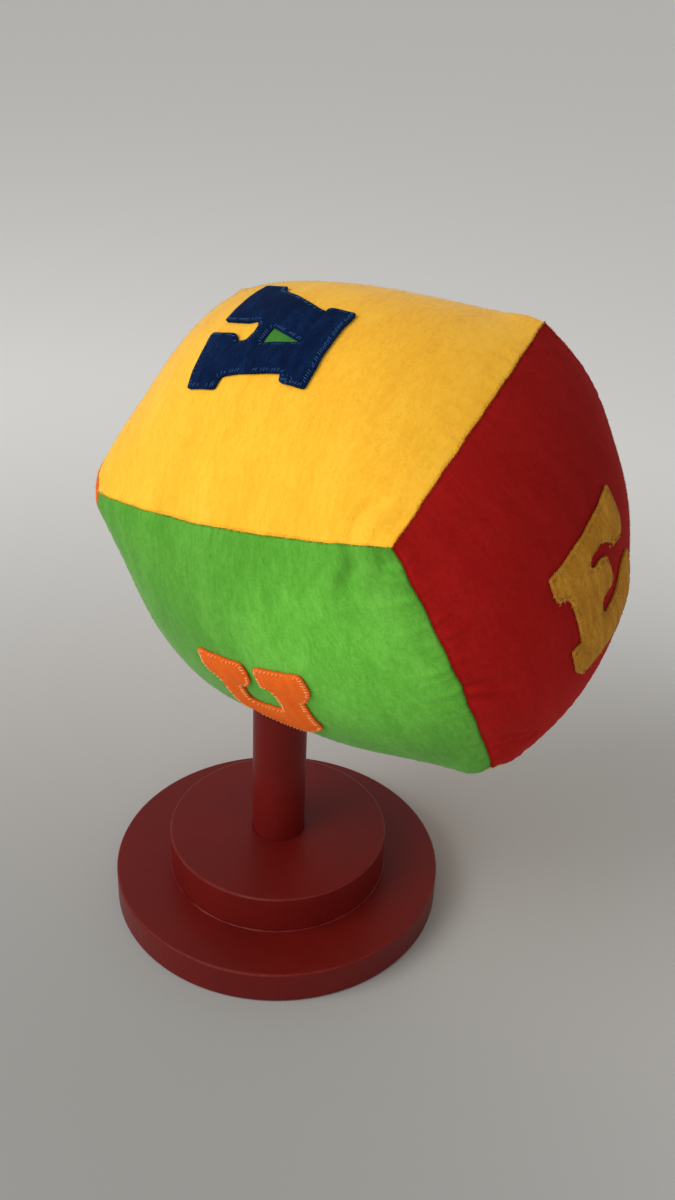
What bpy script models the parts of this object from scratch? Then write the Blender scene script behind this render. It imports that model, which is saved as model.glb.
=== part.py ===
"""A stuffed letter die that leans, tipped towards one corner, on a painted wooden stand.

The die is six crowned plush panels round a fibre filling, with a letter sewn on each of five
panels. A cloth pocket runs up into the filling from an opening in one lower seam, and the
stand's round post stands in that pocket, so the die can be turned on the post and lifted off.

Metres, +Z up. The origin is the centre of the stand's underside, on the axis of the post.
Run with: blender --background --python part.py
"""

import math

import bmesh
import bpy
from mathutils import Euler, Vector
from mathutils.bvhtree import BVHTree

# Driving dimensions: the stand
BASE_DIAMETER = 0.200
BASE_THICKNESS = 0.021
STEP_DIAMETER = 0.133
STEP_THICKNESS = 0.025
DISC_EDGE_BREAK = 0.0012
POST_DIAMETER = 0.032
POST_LENGTH = 0.263
POST_END_ROUNDING = 0.005
SOCKET_DEPTH = 0.012
REST_GAP = 0.0003

# Driving dimensions: the screws that hold the two discs together from below
SCREW_COUNT = 3
SCREW_CIRCLE_DIAMETER = 0.090
SCREW_LENGTH = 0.035
SCREW_HEAD_DIAMETER = 0.0085
SCREW_HEAD_HEIGHT = 0.0030
SCREW_SHANK_DIAMETER = 0.0042
SCREW_POINT_LENGTH = 0.006
SCREW_SINK = 0.0006
SCREW_HOLE_CLEARANCE = 0.0003
RECESS_SPAN = 0.0046
RECESS_WIDTH = 0.0011
RECESS_DEPTH = 0.0016

# Driving dimensions: the die, from seam corner to seam corner
PANEL_EDGE = 0.170
CROWN_YELLOW = 0.043
CROWN_GREEN = 0.037
CROWN_RED = 0.040
CROWN_ORANGE = 0.037
CROWN_NAVY = 0.037
CROWN_UNDER = 0.037
SHOULDER_FULLNESS = 0.28
PLUSH_THICKNESS = 0.0032
SEAM_TUCK = 0.0016
SEAM_ROLL_WIDTH = 0.003
SEAM_GAP = 0.0004
FILLING_GAP = 0.0012

# How the die sits on the post: where its centre is and how it is tipped and turned
DIE_OFF_AXIS_X = 0.0521
DIE_OFF_AXIS_Y = -0.0033
DIE_CENTRE_BELOW_POST_END = 0.0111
DIE_TIP_ABOUT_X = math.radians(-11.1)
DIE_TIP_ABOUT_Y = math.radians(-24.1)
DIE_TURN = math.radians(54.4)

# Where the filling has pulled a corner off the true cube, in the die's own axes
CORNER_SHIFTS = {
    (-1, -1, 1): (0.004, -0.006, -0.003),
    (1, -1, 1): (-0.007, 0.005, -0.009),
    (-1, 1, 1): (-0.004, 0.003, 0.004),
    (1, 1, 1): (-0.013, 0.025, 0.009),
    (-1, -1, -1): (0.003, -0.006, 0.004),
    (1, -1, -1): (-0.008, -0.002, -0.004),
    (-1, 1, -1): (0.004, 0.020, 0.006),
}

# How far the middle of each seam bows out between its corners, first along the outward way of
# the first panel named and then along the second's; a seam not named here bows evenly
EVEN_SEAM_BOW = 0.006
SEAM_BOWS = {
    ("panel_yellow", "panel_green"): (0.003, 0.010),
    ("panel_yellow", "panel_red"): (0.009, 0.008),
    ("panel_green", "panel_red"): (0.006, 0.0105),
    ("panel_red", "panel_under"): (0.012, 0.012),
    ("panel_red", "panel_navy"): (0.0105, 0.0105),
}

# Driving dimensions: the pocket round the post and the piping round its opening
POCKET_CLEARANCE = 0.0006
POCKET_WALL = 0.0015
POCKET_END_THICKNESS = 0.002
PIPING_DIAMETER = 0.0042

# Driving dimensions: the letters
LETTER_HEIGHT = 0.068
LETTER_THICKNESS = 0.0016
LETTER_GAP = 0.0005
LETTER_STROKE = 0.015
SERIF_HEIGHT = 0.0155
SERIF_OVERHANG = 0.006
LETTER_A_HEIGHT = 0.0615
LETTER_A_TOP_WIDTH = 0.0535
LETTER_A_TOP_SLAB = 0.012
LETTER_A_FOOT_WIDTH = 0.083
LETTER_A_FOOT_GAP = 0.012
LETTER_A_NOTCH_WIDTH = 0.015
LETTER_A_TOP_SHIFT = 0.003
LETTER_A_COUNTER_SHIFT = 0.0055
LETTER_A_NOTCH_SHIFT = 0.0035
LETTER_A_GAP_SHIFT = -0.0019
LETTER_A_FOOT_SHIFT = -0.0035
COUNTER_BELOW_TOP = 0.0125
COUNTER_WIDTH = 0.0136
COUNTER_HEIGHT = 0.0175
CROSSBAR_HEIGHT = 0.009
COUNTER_PATCH_CLEARANCE = 0.0004
LETTER_U_WIDTH = 0.060
LETTER_U_SERIF_GAP = 0.006
LETTER_E_HEIGHT = 0.072
LETTER_E_WIDTH = 0.070
LETTER_E_STEM = 0.022
LETTER_E_TIP_DROP = 0.028
LETTER_E_TIP_WIDTH = 0.012
LETTER_E_TIP_SLOPE = 0.011
LETTER_E_TONGUE_LENGTH = 0.018
LETTER_E_TONGUE_HEIGHT = 0.023
LETTER_E_INNER_ROUNDING = 0.005
LETTER_I_WIDTH = 0.036
LETTER_O_WIDTH = 0.060

# How finely the round and soft forms are cut up
PANEL_CELLS = 12
LETTER_CELL = 0.0085
DISC_SIDES = 96
POST_SIDES = 48
BORE_SIDES = 32
SCREW_SIDES = 20
BOW_STEPS = 10

HALF_EDGE = PANEL_EDGE / 2
POST_RADIUS = POST_DIAMETER / 2
STEP_BOTTOM = BASE_THICKNESS + REST_GAP
STEP_TOP = STEP_BOTTOM + STEP_THICKNESS
POST_BOTTOM = BASE_THICKNESS - SOCKET_DEPTH + REST_GAP
POST_TOP = POST_BOTTOM + POST_LENGTH
POCKET_INNER_RADIUS = POST_RADIUS + POCKET_CLEARANCE
POCKET_OUTER_RADIUS = POCKET_INNER_RADIUS + POCKET_WALL
POCKET_TOP = POST_TOP + 2 * REST_GAP + POCKET_END_THICKNESS
BORE_RADIUS = POCKET_OUTER_RADIUS + REST_GAP
BORE_TOP = POCKET_TOP + REST_GAP
DIE_CENTRE = Vector((DIE_OFF_AXIS_X, DIE_OFF_AXIS_Y, POST_TOP - DIE_CENTRE_BELOW_POST_END))
DIE_ROTATION = Euler((DIE_TIP_ABOUT_X, DIE_TIP_ABOUT_Y, DIE_TURN), "XYZ")

# Each panel: its two in-plane axes, its outward axis, and which way that points
PANELS = {
    "panel_yellow": (0, 1, 2, 1),
    "panel_under": (0, 1, 2, -1),
    "panel_navy": (1, 2, 0, 1),
    "panel_green": (1, 2, 0, -1),
    "panel_orange": (2, 0, 1, 1),
    "panel_red": (2, 0, 1, -1),
}
CROWNS = {
    "panel_yellow": CROWN_YELLOW,
    "panel_under": CROWN_UNDER,
    "panel_navy": CROWN_NAVY,
    "panel_green": CROWN_GREEN,
    "panel_orange": CROWN_ORANGE,
    "panel_red": CROWN_RED,
}

# Colour (linear), roughness and metallic value of each material
MATERIALS = {
    "red_paint": ((0.120, 0.010, 0.008, 1.0), 0.38, 0.0),
    "yellow_plush": ((0.900, 0.470, 0.028, 1.0), 0.95, 0.0),
    "green_plush": ((0.110, 0.420, 0.040, 1.0), 0.95, 0.0),
    "red_plush": ((0.330, 0.010, 0.012, 1.0), 0.95, 0.0),
    "orange_plush": ((0.830, 0.130, 0.012, 1.0), 0.95, 0.0),
    "navy_plush": ((0.005, 0.017, 0.085, 1.0), 0.95, 0.0),
    "ochre_felt": ((0.460, 0.240, 0.025, 1.0), 0.90, 0.0),
    "fibre_filling": ((0.780, 0.780, 0.760, 1.0), 1.00, 0.0),
    "pocket_cotton": ((0.550, 0.520, 0.460, 1.0), 0.90, 0.0),
    "zinc_steel": ((0.560, 0.560, 0.540, 1.0), 0.35, 1.0),
}


def clear_scene():
    """Remove every object that the file starts with."""
    for old in list(bpy.data.objects):
        bpy.data.objects.remove(old, do_unlink=True)


def material(name):
    """Return the named Principled material, made once."""
    found = bpy.data.materials.get(name)
    if found:
        return found
    colour, roughness, metallic = MATERIALS[name]
    made = bpy.data.materials.new(name)
    made.use_nodes = True
    shader = made.node_tree.nodes["Principled BSDF"]
    shader.inputs["Base Color"].default_value = colour
    shader.inputs["Roughness"].default_value = roughness
    shader.inputs["Metallic"].default_value = metallic
    made.diffuse_color = colour
    return made


def finish_object(name, bm, material_name, parent=None, smooth_angle=35.0):
    """Turn a bmesh into a named object with outward faces and one material."""
    bmesh.ops.recalc_face_normals(bm, faces=bm.faces)
    mesh = bpy.data.meshes.new(name)
    bm.to_mesh(mesh)
    bm.free()
    mesh.shade_smooth()
    mesh.set_sharp_from_angle(angle=math.radians(smooth_angle))
    obj = bpy.data.objects.new(name, mesh)
    bpy.context.scene.collection.objects.link(obj)
    if material_name:
        mesh.materials.append(material(material_name))
    obj.parent = parent
    return obj


def axis_empty(name, height):
    """An empty on the post's axis, which carries what moves about or along that axis."""
    empty = bpy.data.objects.new(name, None)
    empty.location = (0.0, 0.0, height)
    bpy.context.scene.collection.objects.link(empty)
    return empty


def make_cutter(name, bm, parent=None):
    """A cutting body, which the viewport shows as wire and the finished part leaves out."""
    cutter = finish_object(name, bm, None, parent)
    cutter.hide_render = True
    cutter.display_type = "WIRE"
    return cutter


def cut_with(obj, cutter):
    """Take the cutter's volume out of the object with a live Boolean."""
    boolean = obj.modifiers.new("cut " + cutter.name, "BOOLEAN")
    boolean.operation = "DIFFERENCE"
    boolean.solver = "EXACT"
    boolean.object = cutter


def turned(profile, sides):
    """Spin a profile of (radius, height) points, from one end on the axis to the other."""
    bm = bmesh.new()
    points = [bm.verts.new((radius, 0.0, height)) for radius, height in profile]
    edges = [bm.edges.new(pair) for pair in zip(points, points[1:])]
    bmesh.ops.spin(
        bm,
        geom=points + edges,
        axis=(0, 0, 1),
        cent=(0, 0, 0),
        angle=math.tau,
        steps=sides,
        use_merge=True,
    )
    bmesh.ops.remove_doubles(bm, verts=bm.verts, dist=0.000001)
    return bm


def broken_disc(radius, bottom, top, edge_break):
    """A turned disc whose two rims have their sharp edge taken off."""
    profile = [
        (0.0, bottom),
        (radius - edge_break, bottom),
        (radius - 0.3 * edge_break, bottom + 0.3 * edge_break),
        (radius, bottom + edge_break),
        (radius, top - edge_break),
        (radius - 0.3 * edge_break, top - 0.3 * edge_break),
        (radius - edge_break, top),
        (0.0, top),
    ]
    return turned(profile, DISC_SIDES)


def plain_rod(radius, bottom, top, sides):
    """A plain round rod."""
    return turned([(0.0, bottom), (radius, bottom), (radius, top), (0.0, top)], sides)


def screw_places():
    """The centres of the screws, evenly round their circle."""
    for index in range(SCREW_COUNT):
        angle = math.tau * (index + 0.25) / SCREW_COUNT
        radius = SCREW_CIRCLE_DIAMETER / 2
        yield index, Vector((radius * math.cos(angle), radius * math.sin(angle), 0.0))


def screw_profile(grow):
    """A countersunk screw, head down: its own outline, or its hole's when grow is positive."""
    head = SCREW_HEAD_DIAMETER / 2 + grow
    shank = SCREW_SHANK_DIAMETER / 2 + grow
    low = -REST_GAP if grow else SCREW_SINK
    straight = SCREW_SINK + 0.0006
    tip = SCREW_SINK + SCREW_LENGTH + grow
    return [
        (0.0, low),
        (head, low),
        (head, straight),
        (shank, straight + SCREW_HEAD_HEIGHT),
        (shank, tip - SCREW_POINT_LENGTH),
        (0.0003, tip),
        (0.0, tip),
    ]


def build_stand():
    """The base disc, the step disc on it, the post in its socket, and the three screws."""
    base = finish_object(
        "base_disc",
        broken_disc(BASE_DIAMETER / 2, 0.0, BASE_THICKNESS, DISC_EDGE_BREAK),
        "red_paint",
    )
    step = finish_object(
        "step_disc",
        broken_disc(STEP_DIAMETER / 2, STEP_BOTTOM, STEP_TOP, DISC_EDGE_BREAK),
        "red_paint",
    )
    socket = make_cutter(
        "socket_cutter",
        plain_rod(POST_RADIUS + REST_GAP, BASE_THICKNESS - SOCKET_DEPTH, STEP_TOP + REST_GAP, POST_SIDES),
    )
    cut_with(base, socket)
    cut_with(step, socket)

    rounding = []
    for index in range(BOW_STEPS // 2 + 1):
        angle = math.pi / 2 * index / (BOW_STEPS // 2)
        radius = POST_RADIUS - POST_END_ROUNDING + POST_END_ROUNDING * math.cos(angle)
        height = POST_TOP - POST_END_ROUNDING + POST_END_ROUNDING * math.sin(angle)
        rounding.append((radius, height))
    foot_break = DISC_EDGE_BREAK / 2
    foot = [
        (0.0, POST_BOTTOM),
        (POST_RADIUS - foot_break, POST_BOTTOM),
        (POST_RADIUS, POST_BOTTOM + foot_break),
    ]
    finish_object("post", turned(foot + rounding + [(0.0, POST_TOP)], POST_SIDES), "red_paint")

    for index, place in screw_places():
        bore = turned(screw_profile(SCREW_HOLE_CLEARANCE), SCREW_SIDES)
        hole = make_cutter(f"screw_hole_cutter_{index + 1}", bore)
        hole.location = place
        cut_with(base, hole)
        cut_with(step, hole)
        body = turned(screw_profile(0.0), SCREW_SIDES)
        screw = finish_object(f"disc_screw_{index + 1}", body, "zinc_steel")
        screw.location = place
        cut_with(screw, recess_cutter(index + 1, place))


def recess_cutter(number, place):
    """The cross recess in a screw's head, as one cross-shaped bar."""
    bm = bmesh.new()
    long = RECESS_SPAN / 2
    short = RECESS_WIDTH / 2
    corners = [
        (long, -short), (long, short), (short, short), (short, long), (-short, long), (-short, short),
        (-long, short), (-long, -short), (-short, -short), (-short, -long), (short, -long), (short, -short),
    ]
    outline = [bm.verts.new((x, y, 0.0)) for x, y in corners]
    face = bm.faces.new(outline)
    raised = bmesh.ops.extrude_face_region(bm, geom=[face])["geom"]
    tops = [item for item in raised if isinstance(item, bmesh.types.BMVert)]
    bmesh.ops.translate(bm, verts=tops, vec=(0.0, 0.0, SCREW_SINK + RECESS_DEPTH))
    cutter = make_cutter(f"recess_cutter_{number}", bm)
    cutter.location = place
    return cutter


def pulled(point):
    """Move a point of the true soft cube by its share of the corners' shifts."""
    weights = [max(-1.0, min(1.0, value / HALF_EDGE)) for value in point]
    moved = Vector(point)
    for corner, shift in CORNER_SHIFTS.items():
        share = 1.0
        for weight, side in zip(weights, corner):
            share *= (1.0 + weight * side) / 2.0
        moved += share * Vector(shift)
    return moved


def seam_bow(panel, axis, side):
    """The bow of a panel's seam on one side: how far it rises there, and how far it runs out."""
    for neighbour, (first, second, outward, facing) in PANELS.items():
        if (outward, facing) == (axis, side):
            break
    if (panel, neighbour) in SEAM_BOWS:
        return SEAM_BOWS[panel, neighbour]
    run, rise = SEAM_BOWS.get((neighbour, panel), (EVEN_SEAM_BOW, EVEN_SEAM_BOW))
    return rise, run


def blended_bow(panel, axis, place):
    """The bow at a place between a panel's two opposite seams, as its rise and its run."""
    low = seam_bow(panel, axis, -1)
    high = seam_bow(panel, axis, 1)
    share = (1.0 + place) / 2.0
    return [share * above + (1.0 - share) * below for above, below in zip(high, low)]


def panel_point(panel, s, t, proud=0.0):
    """A point of a panel's face in the die's axes.

    s and t run from -1 to 1 between the seams. The face rises to its crown in the middle, and
    every seam bows outwards between its corners. proud lifts the point off the cloth, by
    growing the soft cube about its centre, so that neighbouring panels meet in a mitre.
    """
    first, second, outward, side = PANELS[panel]
    fall_s = 1.0 - s * s
    fall_t = 1.0 - t * t
    rise_s, run_s = blended_bow(panel, first, s)
    rise_t, run_t = blended_bow(panel, second, t)
    rise = rise_t * fall_s * t * t + rise_s * fall_t * s * s
    rise += CROWNS[panel] * fall_s * fall_t * (1.0 + SHOULDER_FULLNESS * (s * s + t * t))
    point = [0.0, 0.0, 0.0]
    point[first] = s * HALF_EDGE + run_s * s * abs(s) * fall_t
    point[second] = t * HALF_EDGE + run_t * t * abs(t) * fall_s
    point[outward] = side * (HALF_EDGE + rise)
    return pulled(point) * (1.0 + proud / HALF_EDGE)


def panel_steps():
    """The places of a panel's rows, from seam to seam, with a narrow row beside each seam."""
    inner = 1.0 - SEAM_ROLL_WIDTH / HALF_EDGE
    rows = [inner * (2.0 * index / (PANEL_CELLS - 2) - 1.0) for index in range(PANEL_CELLS - 1)]
    return [-1.0] + rows + [1.0]


def panel_sheet(bm, panel, skin_of, reach):
    """Lay one panel's grid of faces; skin_of gives how proud of the cloth each point lies."""
    steps = panel_steps()
    grid = []
    for s in steps:
        row = []
        for t in steps:
            proud = skin_of(abs(s) == 1.0 or abs(t) == 1.0)
            row.append(bm.verts.new(panel_point(panel, s * reach, t * reach, proud)))
        grid.append(row)
    faces = []
    for low, high in zip(grid, grid[1:]):
        for index in range(len(steps) - 1):
            corner = (low[index], high[index], high[index + 1], low[index + 1])
            faces.append(bm.faces.new(corner if PANELS[panel][3] > 0 else corner[::-1]))
    return faces


def rim_edges(bm, faces):
    """The edges of a sheet that only one of its faces uses."""
    chosen = set(faces)
    return [edge for edge in bm.edges if sum(face in chosen for face in edge.link_faces) == 1]


def build_panel(panel, cloth, parent):
    """A crowned plush panel: an outer skin that rolls in at its seams, and an inner skin."""
    bm = bmesh.new()
    reach = 1.0 - SEAM_GAP / 2 / HALF_EDGE
    outer = panel_sheet(bm, panel, lambda at_seam: -SEAM_TUCK if at_seam else 0.0, reach)
    outer_rim = rim_edges(bm, outer)
    inner = panel_sheet(bm, panel, lambda at_seam: -PLUSH_THICKNESS, reach)
    bmesh.ops.reverse_faces(bm, faces=inner)
    inner_rim = [edge for edge in rim_edges(bm, inner) if edge not in set(outer_rim)]
    bmesh.ops.bridge_loops(bm, edges=outer_rim + inner_rim)
    return finish_object(panel, bm, cloth, parent)


def soft_cube(proud):
    """The whole soft cube as one closed skin, so far proud of the cloth or inside it."""
    bm = bmesh.new()
    for panel in PANELS:
        panel_sheet(bm, panel, lambda at_seam: proud, 1.0)
    bmesh.ops.remove_doubles(bm, verts=bm.verts, dist=0.00001)
    return bm


def arc(centre_x, centre_y, radius_x, radius_y, start, end, steps):
    """Points of an elliptic arc, angles in degrees, both ends included."""
    points = []
    for index in range(steps + 1):
        angle = math.radians(start + (end - start) * index / steps)
        points.append((centre_x + radius_x * math.cos(angle), centre_y + radius_y * math.sin(angle)))
    return points


def mirrored_across(half):
    """A right half outline and its mirror image on the left."""
    return [half, [(-x, y) for x, y in half]]


def mirrored_down(half):
    """A top half outline and its mirror image below."""
    return [half, [(x, -y) for x, y in half]]


def letter_a():
    """A slab-serif A as two halves that meet on its centre line.

    It is sewn on a little out of true: its counter and notch lie off the centre line to the
    right, and its feet to the left, so its left leg is the wider one.
    """
    base, tip = letter_a_counter_heights()
    half_counter = COUNTER_WIDTH / 2
    shift = LETTER_A_COUNTER_SHIFT
    crossing = base + (half_counter - shift) / half_counter * COUNTER_HEIGHT
    right_counter = [(0.0, base), (shift + half_counter, base), (shift, tip), (0.0, crossing)]
    left_counter = [(0.0, base), (shift - half_counter, base), (0.0, crossing)]
    return [letter_a_outside(1) + right_counter, letter_a_outside(-1) + left_counter]


def letter_a_outside(side):
    """One half of the A, from the top of its centre line round its foot to below its crossbar."""
    top = LETTER_A_HEIGHT / 2
    foot = -top
    slab = LETTER_A_TOP_SHIFT + side * LETTER_A_TOP_WIDTH / 2
    shoe = LETTER_A_FOOT_SHIFT + side * LETTER_A_FOOT_WIDTH / 2
    overhang = side * SERIF_OVERHANG
    gap = LETTER_A_GAP_SHIFT + side * LETTER_A_FOOT_GAP / 2
    notch = LETTER_A_NOTCH_SHIFT + side * LETTER_A_NOTCH_WIDTH / 2
    bar = letter_a_counter_heights()[0] - CROSSBAR_HEIGHT
    return [
        (0.0, top),
        (slab, top),
        (slab, top - LETTER_A_TOP_SLAB),
        (slab - overhang, top - LETTER_A_TOP_SLAB),
        (shoe - overhang, foot + SERIF_HEIGHT),
        (shoe, foot + SERIF_HEIGHT),
        (shoe, foot),
        (gap, foot),
        (gap, foot + SERIF_HEIGHT),
        (notch, foot + SERIF_HEIGHT),
        (notch, bar),
        (0.0, bar),
    ]


def letter_a_counter_heights():
    """The base and tip of the triangle inside the A."""
    tip = LETTER_A_HEIGHT / 2 - COUNTER_BELOW_TOP
    return tip - COUNTER_HEIGHT, tip


def counter_patch():
    """The patch in the A's counter, clear of the letter all round."""
    base, tip = letter_a_counter_heights()
    slope = math.hypot(COUNTER_WIDTH / 2, COUNTER_HEIGHT)
    low = base + COUNTER_PATCH_CLEARANCE
    high = tip - COUNTER_PATCH_CLEARANCE * slope / (COUNTER_WIDTH / 2)
    width = (high - low) / COUNTER_HEIGHT * COUNTER_WIDTH / 2
    middle = LETTER_A_COUNTER_SHIFT
    return [[(middle, high), (middle + width, low), (middle - width, low)]]


def letter_u():
    """A slab-serif U."""
    top = LETTER_HEIGHT / 2
    outer = LETTER_U_WIDTH / 2
    serif_end = LETTER_U_SERIF_GAP / 2
    stem_outer = outer - SERIF_OVERHANG
    stem_inner = stem_outer - LETTER_STROKE
    bowl = stem_outer * 0.95
    outer_arc = arc(0.0, bowl - top, stem_outer, bowl, 0.0, -90.0, BOW_STEPS)
    inner_arc = arc(0.0, bowl - top, stem_inner, bowl - LETTER_STROKE, -90.0, 0.0, BOW_STEPS)
    head = [(serif_end, top), (outer, top), (outer, top - SERIF_HEIGHT), (stem_outer, top - SERIF_HEIGHT)]
    inside = [(stem_inner, top - SERIF_HEIGHT), (serif_end, top - SERIF_HEIGHT)]
    return mirrored_across(head + outer_arc + inner_arc + inside)


def letter_o():
    """A round O."""
    outer = (LETTER_O_WIDTH / 2, LETTER_HEIGHT / 2)
    inner = (outer[0] - LETTER_STROKE, outer[1] - LETTER_STROKE)
    outer_arc = arc(0.0, 0.0, *outer, 90.0, -90.0, 2 * BOW_STEPS)
    inner_arc = arc(0.0, 0.0, *inner, -90.0, 90.0, 2 * BOW_STEPS)
    return mirrored_across(outer_arc + inner_arc)


def letter_i():
    """A slab-serif I."""
    top = LETTER_HEIGHT / 2
    serif = LETTER_I_WIDTH / 2
    stem = LETTER_STROKE / 2
    half = [
        (0.0, top), (serif, top), (serif, top - SERIF_HEIGHT), (stem, top - SERIF_HEIGHT),
        (stem, SERIF_HEIGHT - top), (serif, SERIF_HEIGHT - top), (serif, -top), (0.0, -top),
    ]
    return mirrored_across(half)


def letter_e():
    """A slab-serif E, mirrored about the middle of its middle arm."""
    top = LETTER_E_HEIGHT / 2
    left = -LETTER_E_WIDTH / 2
    right = -left
    stem_left = left + SERIF_OVERHANG
    stem_right = stem_left + LETTER_E_STEM
    tip_inner = right - LETTER_E_TIP_WIDTH
    tip_end = top - LETTER_E_TIP_DROP
    arm_under = top - SERIF_HEIGHT
    tongue_end = stem_right + LETTER_E_TONGUE_LENGTH
    tongue_top = LETTER_E_TONGUE_HEIGHT / 2
    half = [
        (left, top),
        (right, top),
        (right, tip_end),
        (tip_inner, tip_end),
        (tip_inner - LETTER_E_TIP_SLOPE, arm_under),
        (stem_right + LETTER_E_INNER_ROUNDING, arm_under),
        (stem_right, arm_under - LETTER_E_INNER_ROUNDING),
        (stem_right, tongue_top),
        (tongue_end - LETTER_E_INNER_ROUNDING, tongue_top),
        (tongue_end, tongue_top - LETTER_E_INNER_ROUNDING),
        (tongue_end, 0.0),
        (stem_left, 0.0),
        (stem_left, arm_under),
        (left, arm_under),
    ]
    return mirrored_down(half)


# Each letter: its outlines, its panel, the place of its centre along the panel's two axes, the
# turn of its upright in degrees, and its cloth
LETTERS = {
    "letter_a": (letter_a, "panel_yellow", (0.001, 0.0028), 180.0, "navy_plush"),
    "letter_a_counter": (counter_patch, "panel_yellow", (0.001, 0.0028), 180.0, "green_plush"),
    "letter_u": (letter_u, "panel_green", (-0.002, -0.0195), 0.0, "orange_plush"),
    "letter_e": (letter_e, "panel_red", (-0.0175, 0.0055), 1.0, "ochre_felt"),
    "letter_i": (letter_i, "panel_orange", (0.0, 0.0), 0.0, "green_plush"),
    "letter_o": (letter_o, "panel_navy", (0.0, 0.0), 0.0, "yellow_plush"),
}


def flat_letter(outlines):
    """The letter's flat face, its outlines welded where they meet and cut into small cells."""
    bm = bmesh.new()
    for outline in outlines:
        corners = [bm.verts.new((x, y, 0.0)) for x, y in outline]
        bm.faces.new(corners)
    bmesh.ops.remove_doubles(bm, verts=bm.verts, dist=0.00001)
    span = max(max(abs(x), abs(y)) for outline in outlines for x, y in outline)
    cuts = int(span / LETTER_CELL)
    for axis in (Vector((1, 0, 0)), Vector((0, 1, 0))):
        for index in range(-cuts, cuts + 1):
            everything = list(bm.verts) + list(bm.edges) + list(bm.faces)
            bmesh.ops.bisect_plane(
                bm, geom=everything, dist=0.00001, plane_co=axis * (index * LETTER_CELL), plane_no=axis
            )
    bmesh.ops.triangulate(bm, faces=bm.faces)
    return bm


def letter_to_panel(panel, x, y, centre, turn):
    """Where a letter's own point lies on its panel, as the panel's s and t.

    Seen from outside, an upright letter on a side panel has the die's own Z upwards. On the
    yellow panel an unturned letter would have the die's Y upwards.
    """
    cosine = math.cos(math.radians(turn))
    sine = math.sin(math.radians(turn))
    across = x * cosine - y * sine
    upward = x * sine + y * cosine
    first, second, outward, side = PANELS[panel]
    if second == 2:
        return (centre[0] + side * across) / HALF_EDGE, (centre[1] + upward) / HALF_EDGE
    if first == 2:
        return (centre[0] + upward) / HALF_EDGE, (centre[1] - side * across) / HALF_EDGE
    return (centre[0] + across) / HALF_EDGE, (centre[1] + upward) / HALF_EDGE


def build_letter(name, parent):
    """A sewn-on letter: a thin piece of cloth that follows the crown of its panel."""
    outlines, panel, centre, turn, cloth = LETTERS[name]
    bm = flat_letter(outlines())
    placed = {vert: letter_to_panel(panel, vert.co.x, vert.co.y, centre, turn) for vert in bm.verts}
    for vert, (s, t) in placed.items():
        vert.co = panel_point(panel, s, t, LETTER_GAP)
    raised = bmesh.ops.extrude_face_region(bm, geom=list(bm.faces))["geom"]
    grow = (HALF_EDGE + LETTER_GAP + LETTER_THICKNESS) / (HALF_EDGE + LETTER_GAP)
    for item in raised:
        if isinstance(item, bmesh.types.BMVert):
            item.co *= grow
    return finish_object(name, bm, cloth, parent)


def place_in_die(obj, height):
    """Set a piece made in the die's axes at the die's place, under the turning axis."""
    obj.location = DIE_CENTRE - Vector((0.0, 0.0, height))
    obj.rotation_euler = DIE_ROTATION


def cloth_height(bvh, radius, angle):
    """The height of the die's underside at a place given by radius and angle about the post."""
    start = Vector((radius * math.cos(angle), radius * math.sin(angle), 0.0))
    hit = bvh.ray_cast(start, Vector((0.0, 0.0, 1.0)))[0]
    return hit.z


def underside_tree(proud):
    """A search tree of the soft cube's skin where it sits on the stand."""
    bm = soft_cube(proud)
    matrix = DIE_ROTATION.to_matrix().to_4x4()
    matrix.translation = DIE_CENTRE
    bmesh.ops.transform(bm, matrix=matrix, verts=bm.verts)
    tree = BVHTree.FromBMesh(bm)
    bm.free()
    return tree


def build_piping(parent, height):
    """The piping sewn round the opening, one closed cord that follows the cloth."""
    radius = PIPING_DIAMETER / 2
    tree = underside_tree(radius + 2 * REST_GAP)
    ring = BORE_RADIUS + radius + REST_GAP
    curve = bpy.data.curves.new("opening_piping", "CURVE")
    curve.dimensions = "3D"
    curve.bevel_depth = radius
    curve.bevel_resolution = 2
    spline = curve.splines.new("POLY")
    spline.points.add(DISC_SIDES // 2 - 1)
    for index, point in enumerate(spline.points):
        angle = math.tau * index / len(spline.points)
        z = cloth_height(tree, ring, angle)
        point.co = (ring * math.cos(angle), ring * math.sin(angle), z - height, 1.0)
    spline.use_cyclic_u = True
    piping = bpy.data.objects.new("opening_piping", curve)
    bpy.context.scene.collection.objects.link(piping)
    curve.materials.append(material("navy_plush"))
    piping.parent = parent
    return piping


def build_pocket(lift_axis, height):
    """The cloth pocket: a tube round the post, and the round end that rests on the post."""
    tree = underside_tree(0.0)
    angles = [math.tau * index / BORE_SIDES for index in range(BORE_SIDES)]
    bottom = max(cloth_height(tree, BORE_RADIUS, angle) for angle in angles)
    wall = [
        (POCKET_INNER_RADIUS, bottom - height),
        (POCKET_OUTER_RADIUS, bottom - height),
        (POCKET_OUTER_RADIUS, POST_TOP - height),
        (POCKET_INNER_RADIUS, POST_TOP - height),
        (POCKET_INNER_RADIUS, bottom - height),
    ]
    finish_object("pocket_tube", turned(wall, POST_SIDES), "pocket_cotton", lift_axis)
    end_bottom = POST_TOP + REST_GAP - height
    end = plain_rod(POCKET_OUTER_RADIUS, end_bottom, end_bottom + POCKET_END_THICKNESS, POST_SIDES)
    finish_object("pocket_end", end, "pocket_cotton", lift_axis)


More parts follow.
